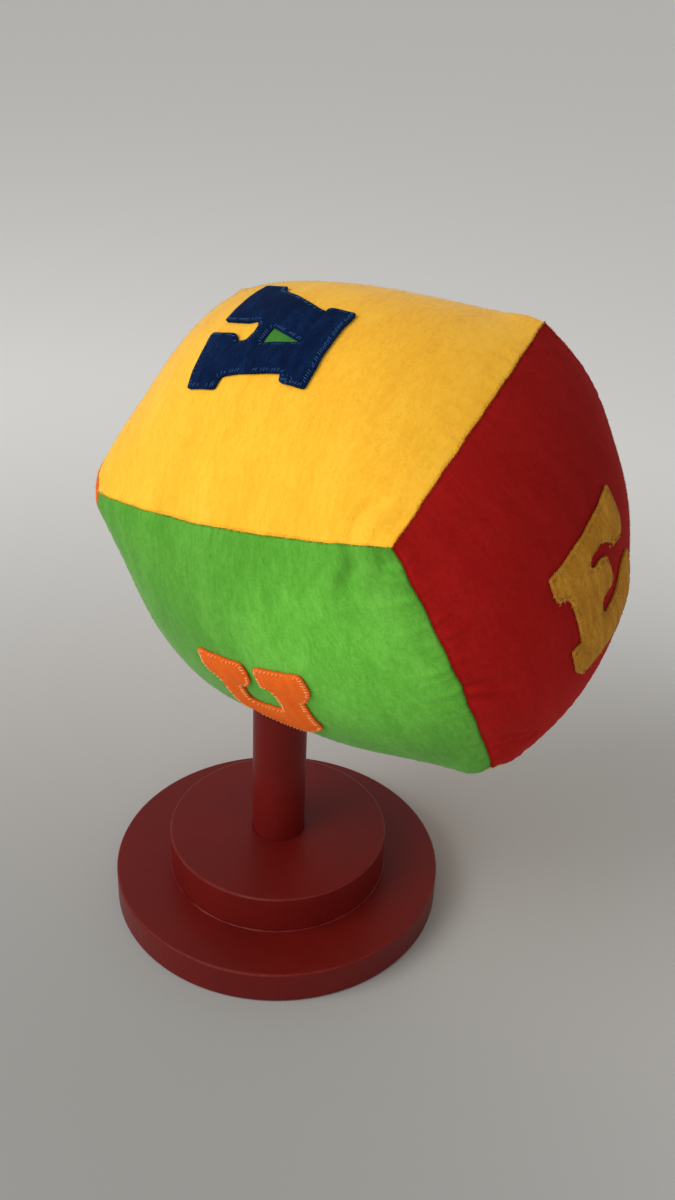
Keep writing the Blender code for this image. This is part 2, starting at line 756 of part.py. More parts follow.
def build_die(spin_axis, height):
    """The panels, the filling and the letters, with the bore for the pocket cut up into them."""
    bore = make_cutter("bore_cutter", plain_rod(BORE_RADIUS, 0.0, BORE_TOP, BORE_SIDES), spin_axis)
    bore.location = (0.0, 0.0, -height)
    cloths = {
        "panel_yellow": "yellow_plush",
        "panel_under": "yellow_plush",
        "panel_navy": "navy_plush",
        "panel_green": "green_plush",
        "panel_orange": "orange_plush",
        "panel_red": "red_plush",
    }
    for panel, cloth in cloths.items():
        piece = build_panel(panel, cloth, spin_axis)
        place_in_die(piece, height)
        cut_with(piece, bore)
    filling = finish_object("filling", soft_cube(-PLUSH_THICKNESS - FILLING_GAP), "fibre_filling", spin_axis)
    place_in_die(filling, height)
    cut_with(filling, bore)
    for name in LETTERS:
        place_in_die(build_letter(name, spin_axis), height)
    build_piping(spin_axis, height)


def main():
    clear_scene()
    build_stand()
    lift_axis = axis_empty("lift_off_axis", POST_TOP)
    spin_axis = axis_empty("die_spin_axis", POST_TOP)
    spin_axis.parent = lift_axis
    spin_axis.location = (0.0, 0.0, 0.0)
    build_pocket(lift_axis, POST_TOP)
    build_die(spin_axis, POST_TOP)
    bpy.context.view_layer.update()


main()
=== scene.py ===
# %% [markdown]
# This scene dresses a stuffed letter die that leans on a painted wooden stand. The solids of the
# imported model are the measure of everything: one frame, in metres, with +Z up and the post on the
# Z axis. Wood and screws keep their solids and get paint and metal. All that is sewn is made again
# as cloth, because a faceted solid can't show a nap, a rolled seam or a row of stitches.

# %% Load the frame
import math

import bpy
import numpy as np
from mathutils import Matrix, Vector, noise
from mathutils.bvhtree import BVHTree


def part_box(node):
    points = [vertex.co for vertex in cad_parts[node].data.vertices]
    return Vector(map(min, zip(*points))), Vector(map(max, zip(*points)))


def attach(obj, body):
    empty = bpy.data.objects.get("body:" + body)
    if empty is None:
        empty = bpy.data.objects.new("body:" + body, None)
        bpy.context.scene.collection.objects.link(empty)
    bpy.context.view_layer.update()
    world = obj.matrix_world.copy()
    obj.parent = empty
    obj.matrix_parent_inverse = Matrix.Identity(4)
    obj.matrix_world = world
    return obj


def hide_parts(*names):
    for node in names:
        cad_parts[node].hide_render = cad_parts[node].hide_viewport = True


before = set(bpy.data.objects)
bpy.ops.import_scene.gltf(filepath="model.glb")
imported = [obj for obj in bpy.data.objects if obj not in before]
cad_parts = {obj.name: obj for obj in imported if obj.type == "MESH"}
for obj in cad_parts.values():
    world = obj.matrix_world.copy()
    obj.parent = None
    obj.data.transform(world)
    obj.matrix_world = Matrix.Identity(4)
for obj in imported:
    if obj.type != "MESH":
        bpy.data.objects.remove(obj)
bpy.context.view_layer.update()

# %% [markdown]
# A few helpers keep the later cells short. They do what a hand does in the viewport: pick one
# object, apply a modifier, link a new mesh, turn a curve into a mesh. A piece is dressed with its
# material, the solid that it replaces and the body that it rides on.

# %% Object helpers
def pick(made):
    """Select one object alone and make it the active one."""
    bpy.ops.object.select_all(action="DESELECT")
    made.select_set(True)
    bpy.context.view_layer.objects.active = made


def placed_shape(name):
    """The shape that was just added: named, and its place written into its points."""
    made = bpy.context.object
    made.name = name
    bpy.ops.object.transform_apply(location=True, rotation=True, scale=True)
    return made


def modify(made, kind, **settings):
    """Add a modifier, set it up and apply it."""
    pick(made)
    modifier = made.modifiers.new(kind.lower(), kind)
    for key, value in settings.items():
        setattr(modifier, key, value)
    bpy.ops.object.modifier_apply(modifier=modifier.name)


def linked(name, data):
    """A new object in the scene, picked."""
    made = bpy.data.objects.new(name, data)
    bpy.context.scene.collection.objects.link(made)
    pick(made)
    return made


def object_from(name, points, faces):
    """A mesh object from arrays of points and faces."""
    mesh = bpy.data.meshes.new(name)
    mesh.from_pydata(points.tolist(), [], faces.tolist())
    return linked(name, mesh)


def mesh_from_curve(name, lines, closed, **settings):
    """A mesh made from a curve that runs through lines of points."""
    curve = bpy.data.curves.new(name, "CURVE")
    for key, value in settings.items():
        setattr(curve, key, value)
    for line in lines:
        spline = curve.splines.new("POLY")
        spline.points.add(len(line) - 1)
        weighted = np.concatenate([line, np.ones((len(line), 1))], axis=1)
        spline.points.foreach_set("co", weighted.reshape(-1))
        spline.use_cyclic_u = closed
    linked(name, curve)
    bpy.ops.object.convert(target="MESH")
    made = bpy.context.object
    made.name = name
    return made


def dress(made, material, body, replaced=None):
    """Give a piece its material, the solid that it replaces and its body."""
    made.data.materials.clear()
    made.data.materials.append(material)
    if replaced:
        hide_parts(replaced)
    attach(made, body)
    print(made.name, len(made.data.polygons), "faces")


# %% [markdown]
# Every finish is built from nodes. A helper adds a node, sets its inputs or joins them up, and
# hands back the one output that is wanted. An effect that several materials share is a node group:
# built once, with named inputs, and placed in each material with its own values.

# %% Node helpers
COLOUR = "NodeSocketColor"
NUMBER = "NodeSocketFloat"
VECTOR = "NodeSocketVector"


def new_group(name, inputs, outputs):
    """An empty node group with its sockets; inputs map a name to a type and a first value."""
    group = bpy.data.node_groups.new(name, "ShaderNodeTree")
    for socket, (kind, value) in inputs.items():
        made = group.interface.new_socket(socket, in_out="INPUT", socket_type=kind)
        made.default_value = value
    for socket, kind in outputs.items():
        group.interface.new_socket(socket, in_out="OUTPUT", socket_type=kind)
    return group, group.nodes.new("NodeGroupInput"), group.nodes.new("NodeGroupOutput")


def set_inputs(tree, node, *placed, **named):
    """Set or join a node's inputs, by place, or by name with an underscore for each space."""
    chosen = list(zip(node.inputs, placed))
    chosen += [(node.inputs[key.replace("_", " ")], value) for key, value in named.items()]
    for socket, value in chosen:
        if isinstance(value, bpy.types.NodeSocket):
            tree.links.new(value, socket)
        else:
            socket.default_value = value


def add_node(tree, kind, output, settings=None, *placed, **named):
    """Add a shader node, set it up and return one of its outputs."""
    node = tree.nodes.new("ShaderNode" + kind)
    for key, value in (settings or {}).items():
        setattr(node, key, value)
    set_inputs(tree, node, *placed, **named)
    return node.outputs[output]


def maths(tree, operation, *numbers):
    """The result of a Math node."""
    return add_node(tree, "Math", 0, {"operation": operation}, *numbers)


def vector_maths(tree, operation, *vectors, **named):
    """The result of a Vector Math node: a number for a length or a distance, or else a vector."""
    output = "Value" if operation in ("LENGTH", "DISTANCE") else "Vector"
    return add_node(tree, "VectorMath", output, {"operation": operation}, *vectors, **named)


def mixed(tree, factor, first, second, blend="MIX"):
    """Two colours mixed, or blended in another way."""
    settings = {"data_type": "RGBA", "blend_type": blend}
    return add_node(tree, "Mix", "Result", settings, Factor=factor, A=first, B=second)


def ranged(tree, value, settings=None, **ends):
    """A number carried from one range to another."""
    return add_node(tree, "MapRange", "Result", settings, Value=value, **ends)


def noise_of(tree, place, **named):
    """The grey value of a noise at a place."""
    return add_node(tree, "TexNoise", "Fac", Vector=place, **named)


def two_tones(tree, factor, dark, light, low=0.0, high=1.0):
    """A colour from dark to light, as a number goes from low to high."""
    output = add_node(tree, "ValToRGB", "Color", Fac=factor)
    for end, colour, place in zip(output.node.color_ramp.elements, (dark, light), (low, high)):
        end.color = (*colour, 1.0)
        end.position = place
    return output


def bumped(tree, height, strength, depth):
    """A normal that follows a height."""
    return add_node(tree, "Bump", "Normal", Height=height, Strength=strength, Distance=depth)


def new_material(name):
    """A material with its tree and its Principled shader."""
    made = bpy.data.materials.new(name)
    made.use_nodes = True
    return made, made.node_tree, made.node_tree.nodes["Principled BSDF"]


def place_group(tree, group, **values):
    """Place a node group in a material, set its inputs and return its outputs."""
    node = tree.nodes.new("ShaderNodeGroup")
    node.node_tree = group
    set_inputs(tree, node, **values)
    return node.outputs


# %% [markdown]
# The camera stands in front of the die, above it, and looks down by about thirty degrees. Its
# place and its three angles follow the ellipses of the two discs, so a turned matrix is written
# straight into the camera instead of turning it by eye.

# %% Camera
CAMERA_PLACE = Vector((0.0, -0.60493, 0.56992))
CAMERA_YAW = 0.0504
CAMERA_PITCH = 0.5380
CAMERA_ROLL = 0.0449
CAMERA_LENS = 38.05

bpy.ops.object.camera_add(location=CAMERA_PLACE)
camera = bpy.context.object
ahead = Vector((
    math.sin(CAMERA_YAW) * math.cos(CAMERA_PITCH),
    math.cos(CAMERA_YAW) * math.cos(CAMERA_PITCH),
    -math.sin(CAMERA_PITCH),
))
level = Vector((math.cos(CAMERA_YAW), -math.sin(CAMERA_YAW), 0.0))
upright = level.cross(ahead)
across = math.cos(CAMERA_ROLL) * level + math.sin(CAMERA_ROLL) * upright
upward = -math.sin(CAMERA_ROLL) * level + math.cos(CAMERA_ROLL) * upright
turn = Matrix((across, upward, -ahead)).transposed().to_4x4()
camera.matrix_world = Matrix.Translation(CAMERA_PLACE) @ turn
camera.data.sensor_width = 36.0
camera.data.lens = CAMERA_LENS
camera.data.clip_start = 0.01
camera.data.clip_end = 50.0
bpy.context.scene.camera = camera
bpy.context.scene.view_settings.view_transform = "Standard"
print("camera at", [round(v, 3) for v in camera.location])

# %% [markdown]
# The light is a big soft window on the upper left, a weak fill from the front and a pale room all
# round. The room is brighter for the camera and for reflections than for the cloth, so the
# background can be pale without washing out the plush. The floor is painted a little darker under
# the window, as it is in the photo: painted shade in the floor's colour, not a shadow cast by a lamp.

# %% Light and floor
WINDOW_PLACE = (-1.05, -0.55, 1.25)
WINDOW_AIM = Vector((0.03, 0.0, 0.22))
WINDOW_SIZE = (1.1, 1.1)
WINDOW_POWER = 17.0
FRONT_PLACE = (-0.55, -1.40, 0.33)
FRONT_AIM = Vector((0.05, 0.0, 0.24))
FRONT_SIZE = (0.9, 0.6)
FRONT_POWER = 5.0
ROOM_LIGHT = 0.46
ROOM_SHOWN = 1.0
ROOM_GLOW = (1.0, 0.985, 0.96, 1.0)
ROOM_COLOUR = (0.62, 0.61, 0.59, 1.0)
# Painted shade: the floor's colour near one point under the window, and its pale colour further off.
FLOOR_PAINTED_SHADE = (0.32, 0.315, 0.305, 1.0)
FLOOR_FAR = (0.93, 0.925, 0.90, 1.0)
FLOOR_SHADE_CENTRE = (-0.25, -0.35, 0.0)
FLOOR_SHADE_FADE = (0.15, 1.30)
FLOOR_SIZE = 60.0
FLOOR_DROP = 0.0002


def soft_light(name, place, aim, size, power):
    """An area light that looks at one point."""
    bpy.ops.object.light_add(type="AREA", location=place)
    made = bpy.context.object
    made.name = name
    made.data.shape = "RECTANGLE"
    made.data.size, made.data.size_y = size
    made.data.energy = power
    made.rotation_euler = (aim - Vector(place)).to_track_quat("-Z", "Y").to_euler()


soft_light("window", WINDOW_PLACE, WINDOW_AIM, WINDOW_SIZE, WINDOW_POWER)
soft_light("front fill", FRONT_PLACE, FRONT_AIM, FRONT_SIZE, FRONT_POWER)

room = bpy.data.worlds.new("pale room")
bpy.context.scene.world = room
room.use_nodes = True
tree = room.node_tree
tree.nodes.clear()
rays = tree.nodes.new("ShaderNodeLightPath").outputs
seen = maths(tree, "MAXIMUM", rays["Is Camera Ray"], rays["Is Glossy Ray"])
strength = ranged(tree, seen, To_Min=ROOM_LIGHT, To_Max=ROOM_SHOWN)
tint = mixed(tree, seen, ROOM_GLOW, ROOM_COLOUR)
background = add_node(tree, "Background", 0, Color=tint, Strength=strength)
set_inputs(tree, tree.nodes.new("ShaderNodeOutputWorld"), Surface=background)

bpy.ops.mesh.primitive_plane_add(size=FLOOR_SIZE, location=(0.0, 0.0, -FLOOR_DROP))
floor = placed_shape("floor")
floor_cloth, tree, shader = new_material("pale floor")
# Painted shade: the floor's colour darkens towards one point and pales away from it.
away = vector_maths(tree, "DISTANCE", add_node(tree, "TexCoord", "Object"), FLOOR_SHADE_CENTRE)
near_end, far_end = FLOOR_SHADE_FADE
fade = ranged(tree, away, {"interpolation_type": "SMOOTHSTEP"}, From_Min=near_end, From_Max=far_end)
set_inputs(tree, shader, Base_Color=mixed(tree, fade, FLOOR_PAINTED_SHADE, FLOOR_FAR), Roughness=0.9)
floor.data.materials.append(floor_cloth)
print("window", WINDOW_POWER, "W, room", ROOM_LIGHT)

# %% [markdown]
# The stand is turned wood under two coats of dark red satin paint. The brush leaves faint streaks,
# the colour pools a little darker in places, and a thin broken line of lighter red runs along the
# rims: partly paint rubbed thin, partly a painted highlight where the rims catch the light. The rims
# lie at known radii and heights, so this line can be drawn from the Object coordinates alone.

# %% Paint: the shared effects
brushed, given, result = new_group(
    "brushed paint",
    {"Colour": (COLOUR, (0.12, 0.01, 0.008, 1.0)), "Stretch": (VECTOR, (1.0, 1.0, 1.0))},
    {"Colour": COLOUR, "Height": NUMBER, "Roughness": NUMBER},
)
place = add_node(brushed, "TexCoord", "Object")
stretched = vector_maths(brushed, "MULTIPLY", place, given.outputs["Stretch"])
streaks = noise_of(brushed, stretched, Scale=420.0, Detail=3.0)
pools = noise_of(brushed, place, Scale=26.0, Detail=4.0, Roughness=0.6)
pool_shade = ranged(brushed, pools, To_Min=0.55, To_Max=1.45)
set_inputs(
    brushed, result,
    Colour=mixed(brushed, 0.55, given.outputs["Colour"], pool_shade, "MULTIPLY"),
    Height=maths(brushed, "MULTIPLY_ADD", streaks, 0.5, pools),
    Roughness=ranged(brushed, pools, To_Min=0.36, To_Max=0.50),
)

# Along each rim a broken line of lighter paint: partly wear, partly a painted highlight.
rim_wear_and_highlight, given, result = new_group(
    "rim wear and highlight",
    {"Radius": (NUMBER, 0.1), "Height": (NUMBER, 0.02), "Width": (NUMBER, 0.0013)},
    {"Mask": NUMBER},
)
place = add_node(rim_wear_and_highlight, "TexCoord", "Object")
axes = add_node(rim_wear_and_highlight, "SeparateXYZ", 0, Vector=place).node.outputs
flat_place = add_node(rim_wear_and_highlight, "CombineXYZ", 0, X=axes["X"], Y=axes["Y"])
side_gap = maths(rim_wear_and_highlight, "SUBTRACT", vector_maths(rim_wear_and_highlight, "LENGTH", flat_place), given.outputs["Radius"])
top_gap = maths(rim_wear_and_highlight, "SUBTRACT", axes["Z"], given.outputs["Height"])
rim_gap = vector_maths(rim_wear_and_highlight, "LENGTH", add_node(rim_wear_and_highlight, "CombineXYZ", 0, X=side_gap, Y=top_gap))
uneven = noise_of(rim_wear_and_highlight, place, Scale=160.0, Detail=5.0, Roughness=0.7)
allowed = maths(rim_wear_and_highlight, "MULTIPLY", uneven, given.outputs["Width"])
set_inputs(rim_wear_and_highlight, result, Mask=maths(rim_wear_and_highlight, "LESS_THAN", rim_gap, allowed))
print("groups", brushed.name, "and", rim_wear_and_highlight.name)

# %% [markdown]
# The three pieces of the stand share the two effects. The brush went round the discs and along the
# post, and each piece has its line of wear and painted highlight along its own upper rim.

# %% Paint: the discs and the post
PAINT_RED = (0.123, 0.0050, 0.0035, 1.0)
# The lighter red of the rims: partly worn paint, partly a painted highlight.
PAINT_WORN_AND_LIT = (0.155, 0.015, 0.011, 1.0)
BRUSHED_FLAT = (0.15, 0.15, 1.0)
BRUSHED_UP = (1.0, 1.0, 0.06)
BRUSHED_EVEN = (1.0, 1.0, 1.0)
BASE_RADIUS = 0.100
BASE_TOP = 0.021
STEP_RADIUS = 0.0665
STEP_TOP = 0.0463
POST_RADIUS = 0.016
POST_TOP = 0.2723


def painted_wood(name, stretch, rim_radius, rim_height):
    """Dark red satin paint, brushed along one way, with wear and a painted highlight along one rim."""
    made, tree, shader = new_material(name)
    paint = place_group(tree, brushed, Colour=PAINT_RED, Stretch=stretch)
    wear_and_highlight = place_group(tree, rim_wear_and_highlight, Radius=rim_radius, Height=rim_height)
    # The rim's lighter line is partly worn paint and partly a painted highlight.
    set_inputs(
        tree, shader, Base_Color=mixed(tree, wear_and_highlight["Mask"], paint["Colour"], PAINT_WORN_AND_LIT),
        Roughness=paint["Roughness"], Normal=bumped(tree, paint["Height"], 0.25, 0.0003),
        Specular_IOR_Level=0.16, Coat_Weight=0.05, Coat_Roughness=0.25,
    )
    return made


for node, name, stretch, rim_radius, rim_height in (
    ("base_disc", "base paint", BRUSHED_FLAT, BASE_RADIUS, BASE_TOP),
    ("step_disc", "step paint", BRUSHED_FLAT, STEP_RADIUS, STEP_TOP),
    ("post", "post paint", BRUSHED_UP, POST_RADIUS, POST_TOP),
):
    paint = painted_wood(name, stretch, rim_radius, rim_height)
    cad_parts[node].material_slots[0].material = paint
print("painted base_disc, step_disc and post")

# %% [markdown]
# The three screws under the base are zinc-plated steel, bright and a little cloudy. They show only
# when the stand is tipped up, but they get their own metal all the same.

# %% Screws
zinc, tree, shader = new_material("zinc plate")
cloud = noise_of(tree, add_node(tree, "TexCoord", "Object"), Scale=900.0, Detail=4.0)
set_inputs(
    tree, shader, Base_Color=two_tones(tree, cloud, (0.42, 0.43, 0.44), (0.68, 0.67, 0.63)),
    Roughness=ranged(tree, cloud, To_Min=0.25, To_Max=0.45), Metallic=1.0,
)
for number in (1, 2, 3):
    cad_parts[f"disc_screw_{number}"].material_slots[0].material = zinc
print("zinc on three screws")

# %% [markdown]
# Paint has run into the corner where the step disc stands on the base and dried as a thin uneven
# bead. A torus is laid in the corner, and its points are pushed about by a slow noise so that the
# bead swells and thins as a run of paint does.

# %% Paint bead
BEAD_THICKNESS = 0.0011
BEAD_HEIGHT = BASE_TOP + 0.0002
BEAD_EVEN = 0.75
BEAD_SWELL = 0.7
BEAD_NOISES = ((3.0, 1.0, 0.0), (11.0, 0.6, 5.0))
NO_RIM = (0.0, 1.0)

bpy.ops.mesh.primitive_torus_add(
    major_radius=STEP_RADIUS, minor_radius=BEAD_THICKNESS, major_segments=220, minor_segments=8,
    location=(0.0, 0.0, BEAD_HEIGHT),
)
bead = placed_shape("paint_bead")
for vert in bead.data.vertices:
    angle = math.atan2(vert.co.y, vert.co.x)
    cosine, sine = math.cos(angle), math.sin(angle)
    swell = 0.0
    for scale, share, level in BEAD_NOISES:
        swell += share * noise.noise(Vector((cosine * scale, sine * scale, level)))
    ring = Vector((cosine * STEP_RADIUS, sine * STEP_RADIUS, BEAD_HEIGHT))
    vert.co = ring + (vert.co - ring) * (BEAD_EVEN + BEAD_SWELL * swell)
bpy.ops.object.shade_smooth()
dress(bead, painted_wood("bead paint", BRUSHED_EVEN, *NO_RIM), "stand")

# %% [markdown]
# The die is a soft cube: six square panels that crown outwards between seams that bow. The panels
# follow one formula in two numbers, s and t, which run from -1 to 1 between a panel's seams. The
# solids follow the same formula, so the cloth here lies where they lie. The corners aren't those
# of a true cube, because the filling has pushed them about.

# %% The soft cube
HALF_EDGE = 0.085
SHOULDER_FULLNESS = 0.28
DIE_CENTRE = np.array((0.0521, -0.0033, 0.2612))
DIE_TURNS = (math.radians(-11.1), math.radians(-24.1), math.radians(54.4))
PANELS = {
    "yellow": (0, 1, 2, 1),
    "under": (0, 1, 2, -1),
    "navy": (1, 2, 0, 1),
    "green": (1, 2, 0, -1),
    "orange": (2, 0, 1, 1),
    "red": (2, 0, 1, -1),
}
CROWNS = {"yellow": 0.043, "under": 0.037, "navy": 0.037, "green": 0.037, "orange": 0.037, "red": 0.040}
EVEN_SEAM_BOW = 0.006
SEAM_BOWS = {
    ("yellow", "green"): (0.003, 0.010),
    ("yellow", "red"): (0.009, 0.008),
    ("yellow", "navy"): (0.0015, 0.006),
    ("yellow", "orange"): (0.003, 0.003),
    ("green", "red"): (0.006, 0.0105),
    ("red", "under"): (0.012, 0.012),
    ("red", "navy"): (0.0105, 0.0120),
}
CORNER_SHIFTS = {
    (-1, -1, 1): (0.004, -0.006, -0.003),
    (1, -1, 1): (-0.007, 0.005, -0.009),
    (-1, 1, 1): (-0.004, 0.003, 0.004),
    (1, 1, 1): (-0.013, 0.025, 0.009),
    (-1, -1, -1): (0.003, -0.006, 0.004),
    (1, -1, -1): (-0.008, -0.002, -0.004),
    (-1, 1, -1): (0.004, 0.020, 0.006),
}


def turned_to_row(points):
    """Points in the die's own axes, brought to their place in the row's frame."""
    turn_x, turn_y, turn_z = (Matrix.Rotation(angle, 3, axis) for angle, axis in zip(DIE_TURNS, "XYZ"))
    return points @ np.array(turn_z @ turn_y @ turn_x).T + DIE_CENTRE


def pulled(points):
    """Move the points of a true soft cube by their share of the corners' shifts."""
    weights = np.clip(points / HALF_EDGE, -1.0, 1.0)
    moved = points.copy()
    for corner, shift in CORNER_SHIFTS.items():
        share = np.prod((1.0 + weights * np.array(corner)) / 2.0, axis=-1)
        moved += share[..., None] * np.array(shift)
    return moved


def neighbour_at(axis, side):
    """The panel that looks out along one side of one of the die's own axes."""
    return next(name for name, kind in PANELS.items() if kind[2:] == (axis, side))


def seam_bow(panel, axis, side):
    """How far a seam rises and runs out at its middle, seen from one panel."""
    neighbour = neighbour_at(axis, side)
    if (panel, neighbour) in SEAM_BOWS:
        return SEAM_BOWS[panel, neighbour]
    run, rise = SEAM_BOWS.get((neighbour, panel), (EVEN_SEAM_BOW, EVEN_SEAM_BOW))
    return rise, run


def blended_bow(panel, axis, place):
    """The rise and the run between a panel's two opposite seams."""
    low, high = seam_bow(panel, axis, -1), seam_bow(panel, axis, 1)
    share = (1.0 + place) / 2.0
    return share * high[0] + (1.0 - share) * low[0], share * high[1] + (1.0 - share) * low[1]


def crowned(panel, s, t):
    """The smooth crowned face of a panel, in the row's frame."""
    first, second, outward, side = PANELS[panel]
    fall_s, fall_t = 1.0 - s * s, 1.0 - t * t
    rise_s, run_s = blended_bow(panel, first, s)
    rise_t, run_t = blended_bow(panel, second, t)
    rise = rise_t * fall_s * t * t + rise_s * fall_t * s * s
    rise = rise + CROWNS[panel] * fall_s * fall_t * (1.0 + SHOULDER_FULLNESS * (s * s + t * t))
    points = np.zeros(np.broadcast(s, t).shape + (3,))
    points[..., first] = s * HALF_EDGE + run_s * s * np.abs(s) * fall_t
    points[..., second] = t * HALF_EDGE + run_t * t * np.abs(t) * fall_s
    points[..., outward] = side * (HALF_EDGE + rise)
    return turned_to_row(pulled(points))


top = crowned("yellow", np.array([0.0]), np.array([0.0]))[0]
print("middle of the yellow panel at", np.round(top, 4))

# %% [markdown]
# A sewn toy is stuffed until its cloth is tight, but the cloth is a little longer than the seams
# that hold it, so it puckers beside them and lies in soft hollows elsewhere. This is what a cloth
# simulation gives: the six panels become one closed skin, pinned along its seams, a little too
# large for its shape and blown up from inside. Only a twentieth of the small waves is kept, and no
# point may move by more than half a millimetre, so that the die keeps its measured outline.

# %% Simulate the skin
SKIN_CELLS = 48
SKIN_FRAMES = 20
SKIN_SETTINGS = {
    "quality": 5, "mass": 0.3, "tension_stiffness": 25.0, "compression_stiffness": 25.0,
    "shear_stiffness": 12.0, "bending_stiffness": 0.6, "use_pressure": True,
    "uniform_pressure_force": 4.0, "shrink_min": -0.035, "vertex_group_mass": "seams",
}
BROAD_BLUR = 6
FINE_BLUR = 1
WAVE_SHARE = 0.05
MOST_MOVED = 0.0005

steps = np.linspace(-1.0, 1.0, SKIN_CELLS + 1)
step_s, step_t = np.meshgrid(steps, steps, indexing="ij")
plain_skin = {panel: crowned(panel, step_s, step_t) for panel in PANELS}


def grid_faces(grid):
    """The four-sided faces between the points of a grid."""
    return np.stack([grid[:-1, :-1], grid[1:, :-1], grid[1:, 1:], grid[:-1, 1:]], axis=-1).reshape(-1, 4)


def outward_faces(panel, grid):
    """The faces of a panel's grid, turned to look out of the die."""
    return grid_faces(grid) if PANELS[panel][3] > 0 else grid_faces(grid)[:, ::-1]


def welded_skin():
    """All six grids as one mesh, with the index of every grid point in it."""
    everything = np.concatenate([grid.reshape(-1, 3) for grid in plain_skin.values()])
    keys = np.round(everything, 5)
    _, firsts, inverse = np.unique(keys, axis=0, return_index=True, return_inverse=True)
    index = dict(zip(PANELS, inverse.reshape(len(PANELS), SKIN_CELLS + 1, SKIN_CELLS + 1)))
    faces = [outward_faces(panel, grid) for panel, grid in index.items()]
    return everything[firsts], np.concatenate(faces), index


def simulate_skin():
    """Blow the skin up for a moment and return where every panel's grid went."""
    points, faces, index = welded_skin()
    skin = object_from("skin", points, faces)
    seams = skin.vertex_groups.new(name="seams")
    held = set()
    for grid in index.values():
        held.update(int(i) for edge in (grid[0], grid[-1], grid[:, 0], grid[:, -1]) for i in edge)
    seams.add(sorted(held), 1.0, "REPLACE")
    cloth = skin.modifiers.new("stuffed", "CLOTH")
    for key, value in SKIN_SETTINGS.items():
        setattr(cloth.settings, key, value)
    cloth.settings.effector_weights.gravity = 0.0
    cloth.collision_settings.use_collision = False
    cloth.point_cache.frame_start = 1
    cloth.point_cache.frame_end = SKIN_FRAMES
    for number in range(1, SKIN_FRAMES + 1):
        bpy.context.scene.frame_set(number)
    bpy.ops.object.modifier_apply(modifier="stuffed")
    moved = np.empty(len(skin.data.vertices) * 3)
    skin.data.vertices.foreach_get("co", moved)
    bpy.context.scene.frame_set(1)
    bpy.data.objects.remove(skin, do_unlink=True)
    return {panel: moved.reshape(-1, 3)[grid] for panel, grid in index.items()}


def box_blurred(grid, reach):
    """A grid of vectors averaged over a square of neighbours, its edge rows repeated outwards."""
    for axis in (0, 1):
        size = grid.shape[axis]
        total = np.zeros_like(grid)
        for offset in range(-reach, reach + 1):
            rows = np.clip(np.arange(size) + offset, 0, size - 1)
            total += np.take(grid, rows, axis=axis)
        grid = total / (2 * reach + 1)
    return grid


skin_grids = dict(plain_skin)
for panel, grid in simulate_skin().items():
    shift = grid - plain_skin[panel]
    broad = box_blurred(box_blurred(shift, BROAD_BLUR), BROAD_BLUR)
    shift = box_blurred(shift - broad, FINE_BLUR) * WAVE_SHARE
    size = np.linalg.norm(shift, axis=-1, keepdims=True)
    shift *= np.minimum(1.0, MOST_MOVED / np.maximum(size, 1e-9))
    for edge in (np.s_[0], np.s_[-1], np.s_[:, 0], np.s_[:, -1]):
        shift[edge] = 0.0
    skin_grids[panel] = plain_skin[panel] + shift
    print(panel, "mean and largest wave in mm", np.round(1000 * np.array((size.mean(), size.max())), 2))

# %% [markdown]
# Everything sewn hangs on one question: where is the cloth at s and t? The answer starts from a
# smooth curve through the simulated grid. The filling has settled, so some places swell and some
# sink. No seam sewn in plush is a clean line, so a slow wobble moves the cloth sideways by about a
# quarter of a millimetre, the same on both sides of a seam. A swell is given by its panel, its s
# and t, its reach and its height.

# %% Swells and wobble
SWELLS = (
    ("green", -0.84, -0.94, 0.015, 0.0028),
    ("green", -1.0, -1.0, 0.008, -0.0030),
    ("red", -0.86, -0.86, 0.010, 0.0012),
    ("red", -0.55, 0.65, 0.030, -0.0020),
    ("navy", -1.0, 0.62, 0.034, 0.0014),
    ("navy", -1.0, 0.0, 0.030, -0.0016),
    ("green", 0.93, 0.42, 0.030, -0.0018),
    ("green", 0.16, -0.66, 0.030, -0.0034),
    ("under", -1.0, -0.30, 0.030, -0.0012),
    ("orange", 0.86, -0.86, 0.013, 0.0030),
    ("yellow", -1.0, 1.0, 0.008, -0.0030),
    ("yellow", -0.66, 1.0, 0.022, 0.0020),
    ("yellow", 0.96, -0.88, 0.009, 0.0014),
    ("yellow", 1.0, 1.0, 0.020, -0.0035),
)
WOBBLE_SIZE = 0.00015
WOBBLE_WAVES = 9
WOBBLE_LENGTHS = (0.009, 0.030)


def unit(vectors):
    """Vectors brought to a length of one."""
    return vectors / np.linalg.norm(vectors, axis=-1, keepdims=True)


chance = np.random.default_rng(11)
wobble_ways = unit(chance.normal(size=(WOBBLE_WAVES, 3)))
wobble_runs = chance.normal(size=(WOBBLE_WAVES, 3))
run_sizes = np.linalg.norm(wobble_runs, axis=1, keepdims=True)
wobble_runs *= math.tau / chance.uniform(*WOBBLE_LENGTHS, (WOBBLE_WAVES, 1)) / run_sizes
wobble_starts = chance.uniform(0.0, math.tau, WOBBLE_WAVES)
swell_centres = [crowned(panel, np.array([s]), np.array([t]))[0] for panel, s, t, _, _ in SWELLS]


def settled(points):
    """Points of the skin after the filling has settled and the seams have wobbled."""
    outwards = unit(points - DIE_CENTRE)
    lift = np.zeros(points.shape[:-1])
    for centre, (_, _, _, reach, height) in zip(swell_centres, SWELLS):
        lift += height * np.exp(-np.sum((points - centre) ** 2, axis=-1) / reach ** 2)
    wobble = WOBBLE_SIZE * np.sin(points @ wobble_runs.T + wobble_starts) @ wobble_ways
    wobble -= outwards * np.sum(wobble * outwards, axis=-1, keepdims=True)
    return points + outwards * lift[..., None] + wobble


print("swells", len(SWELLS), "and a wobble of", WOBBLE_SIZE * 1000, "mm")

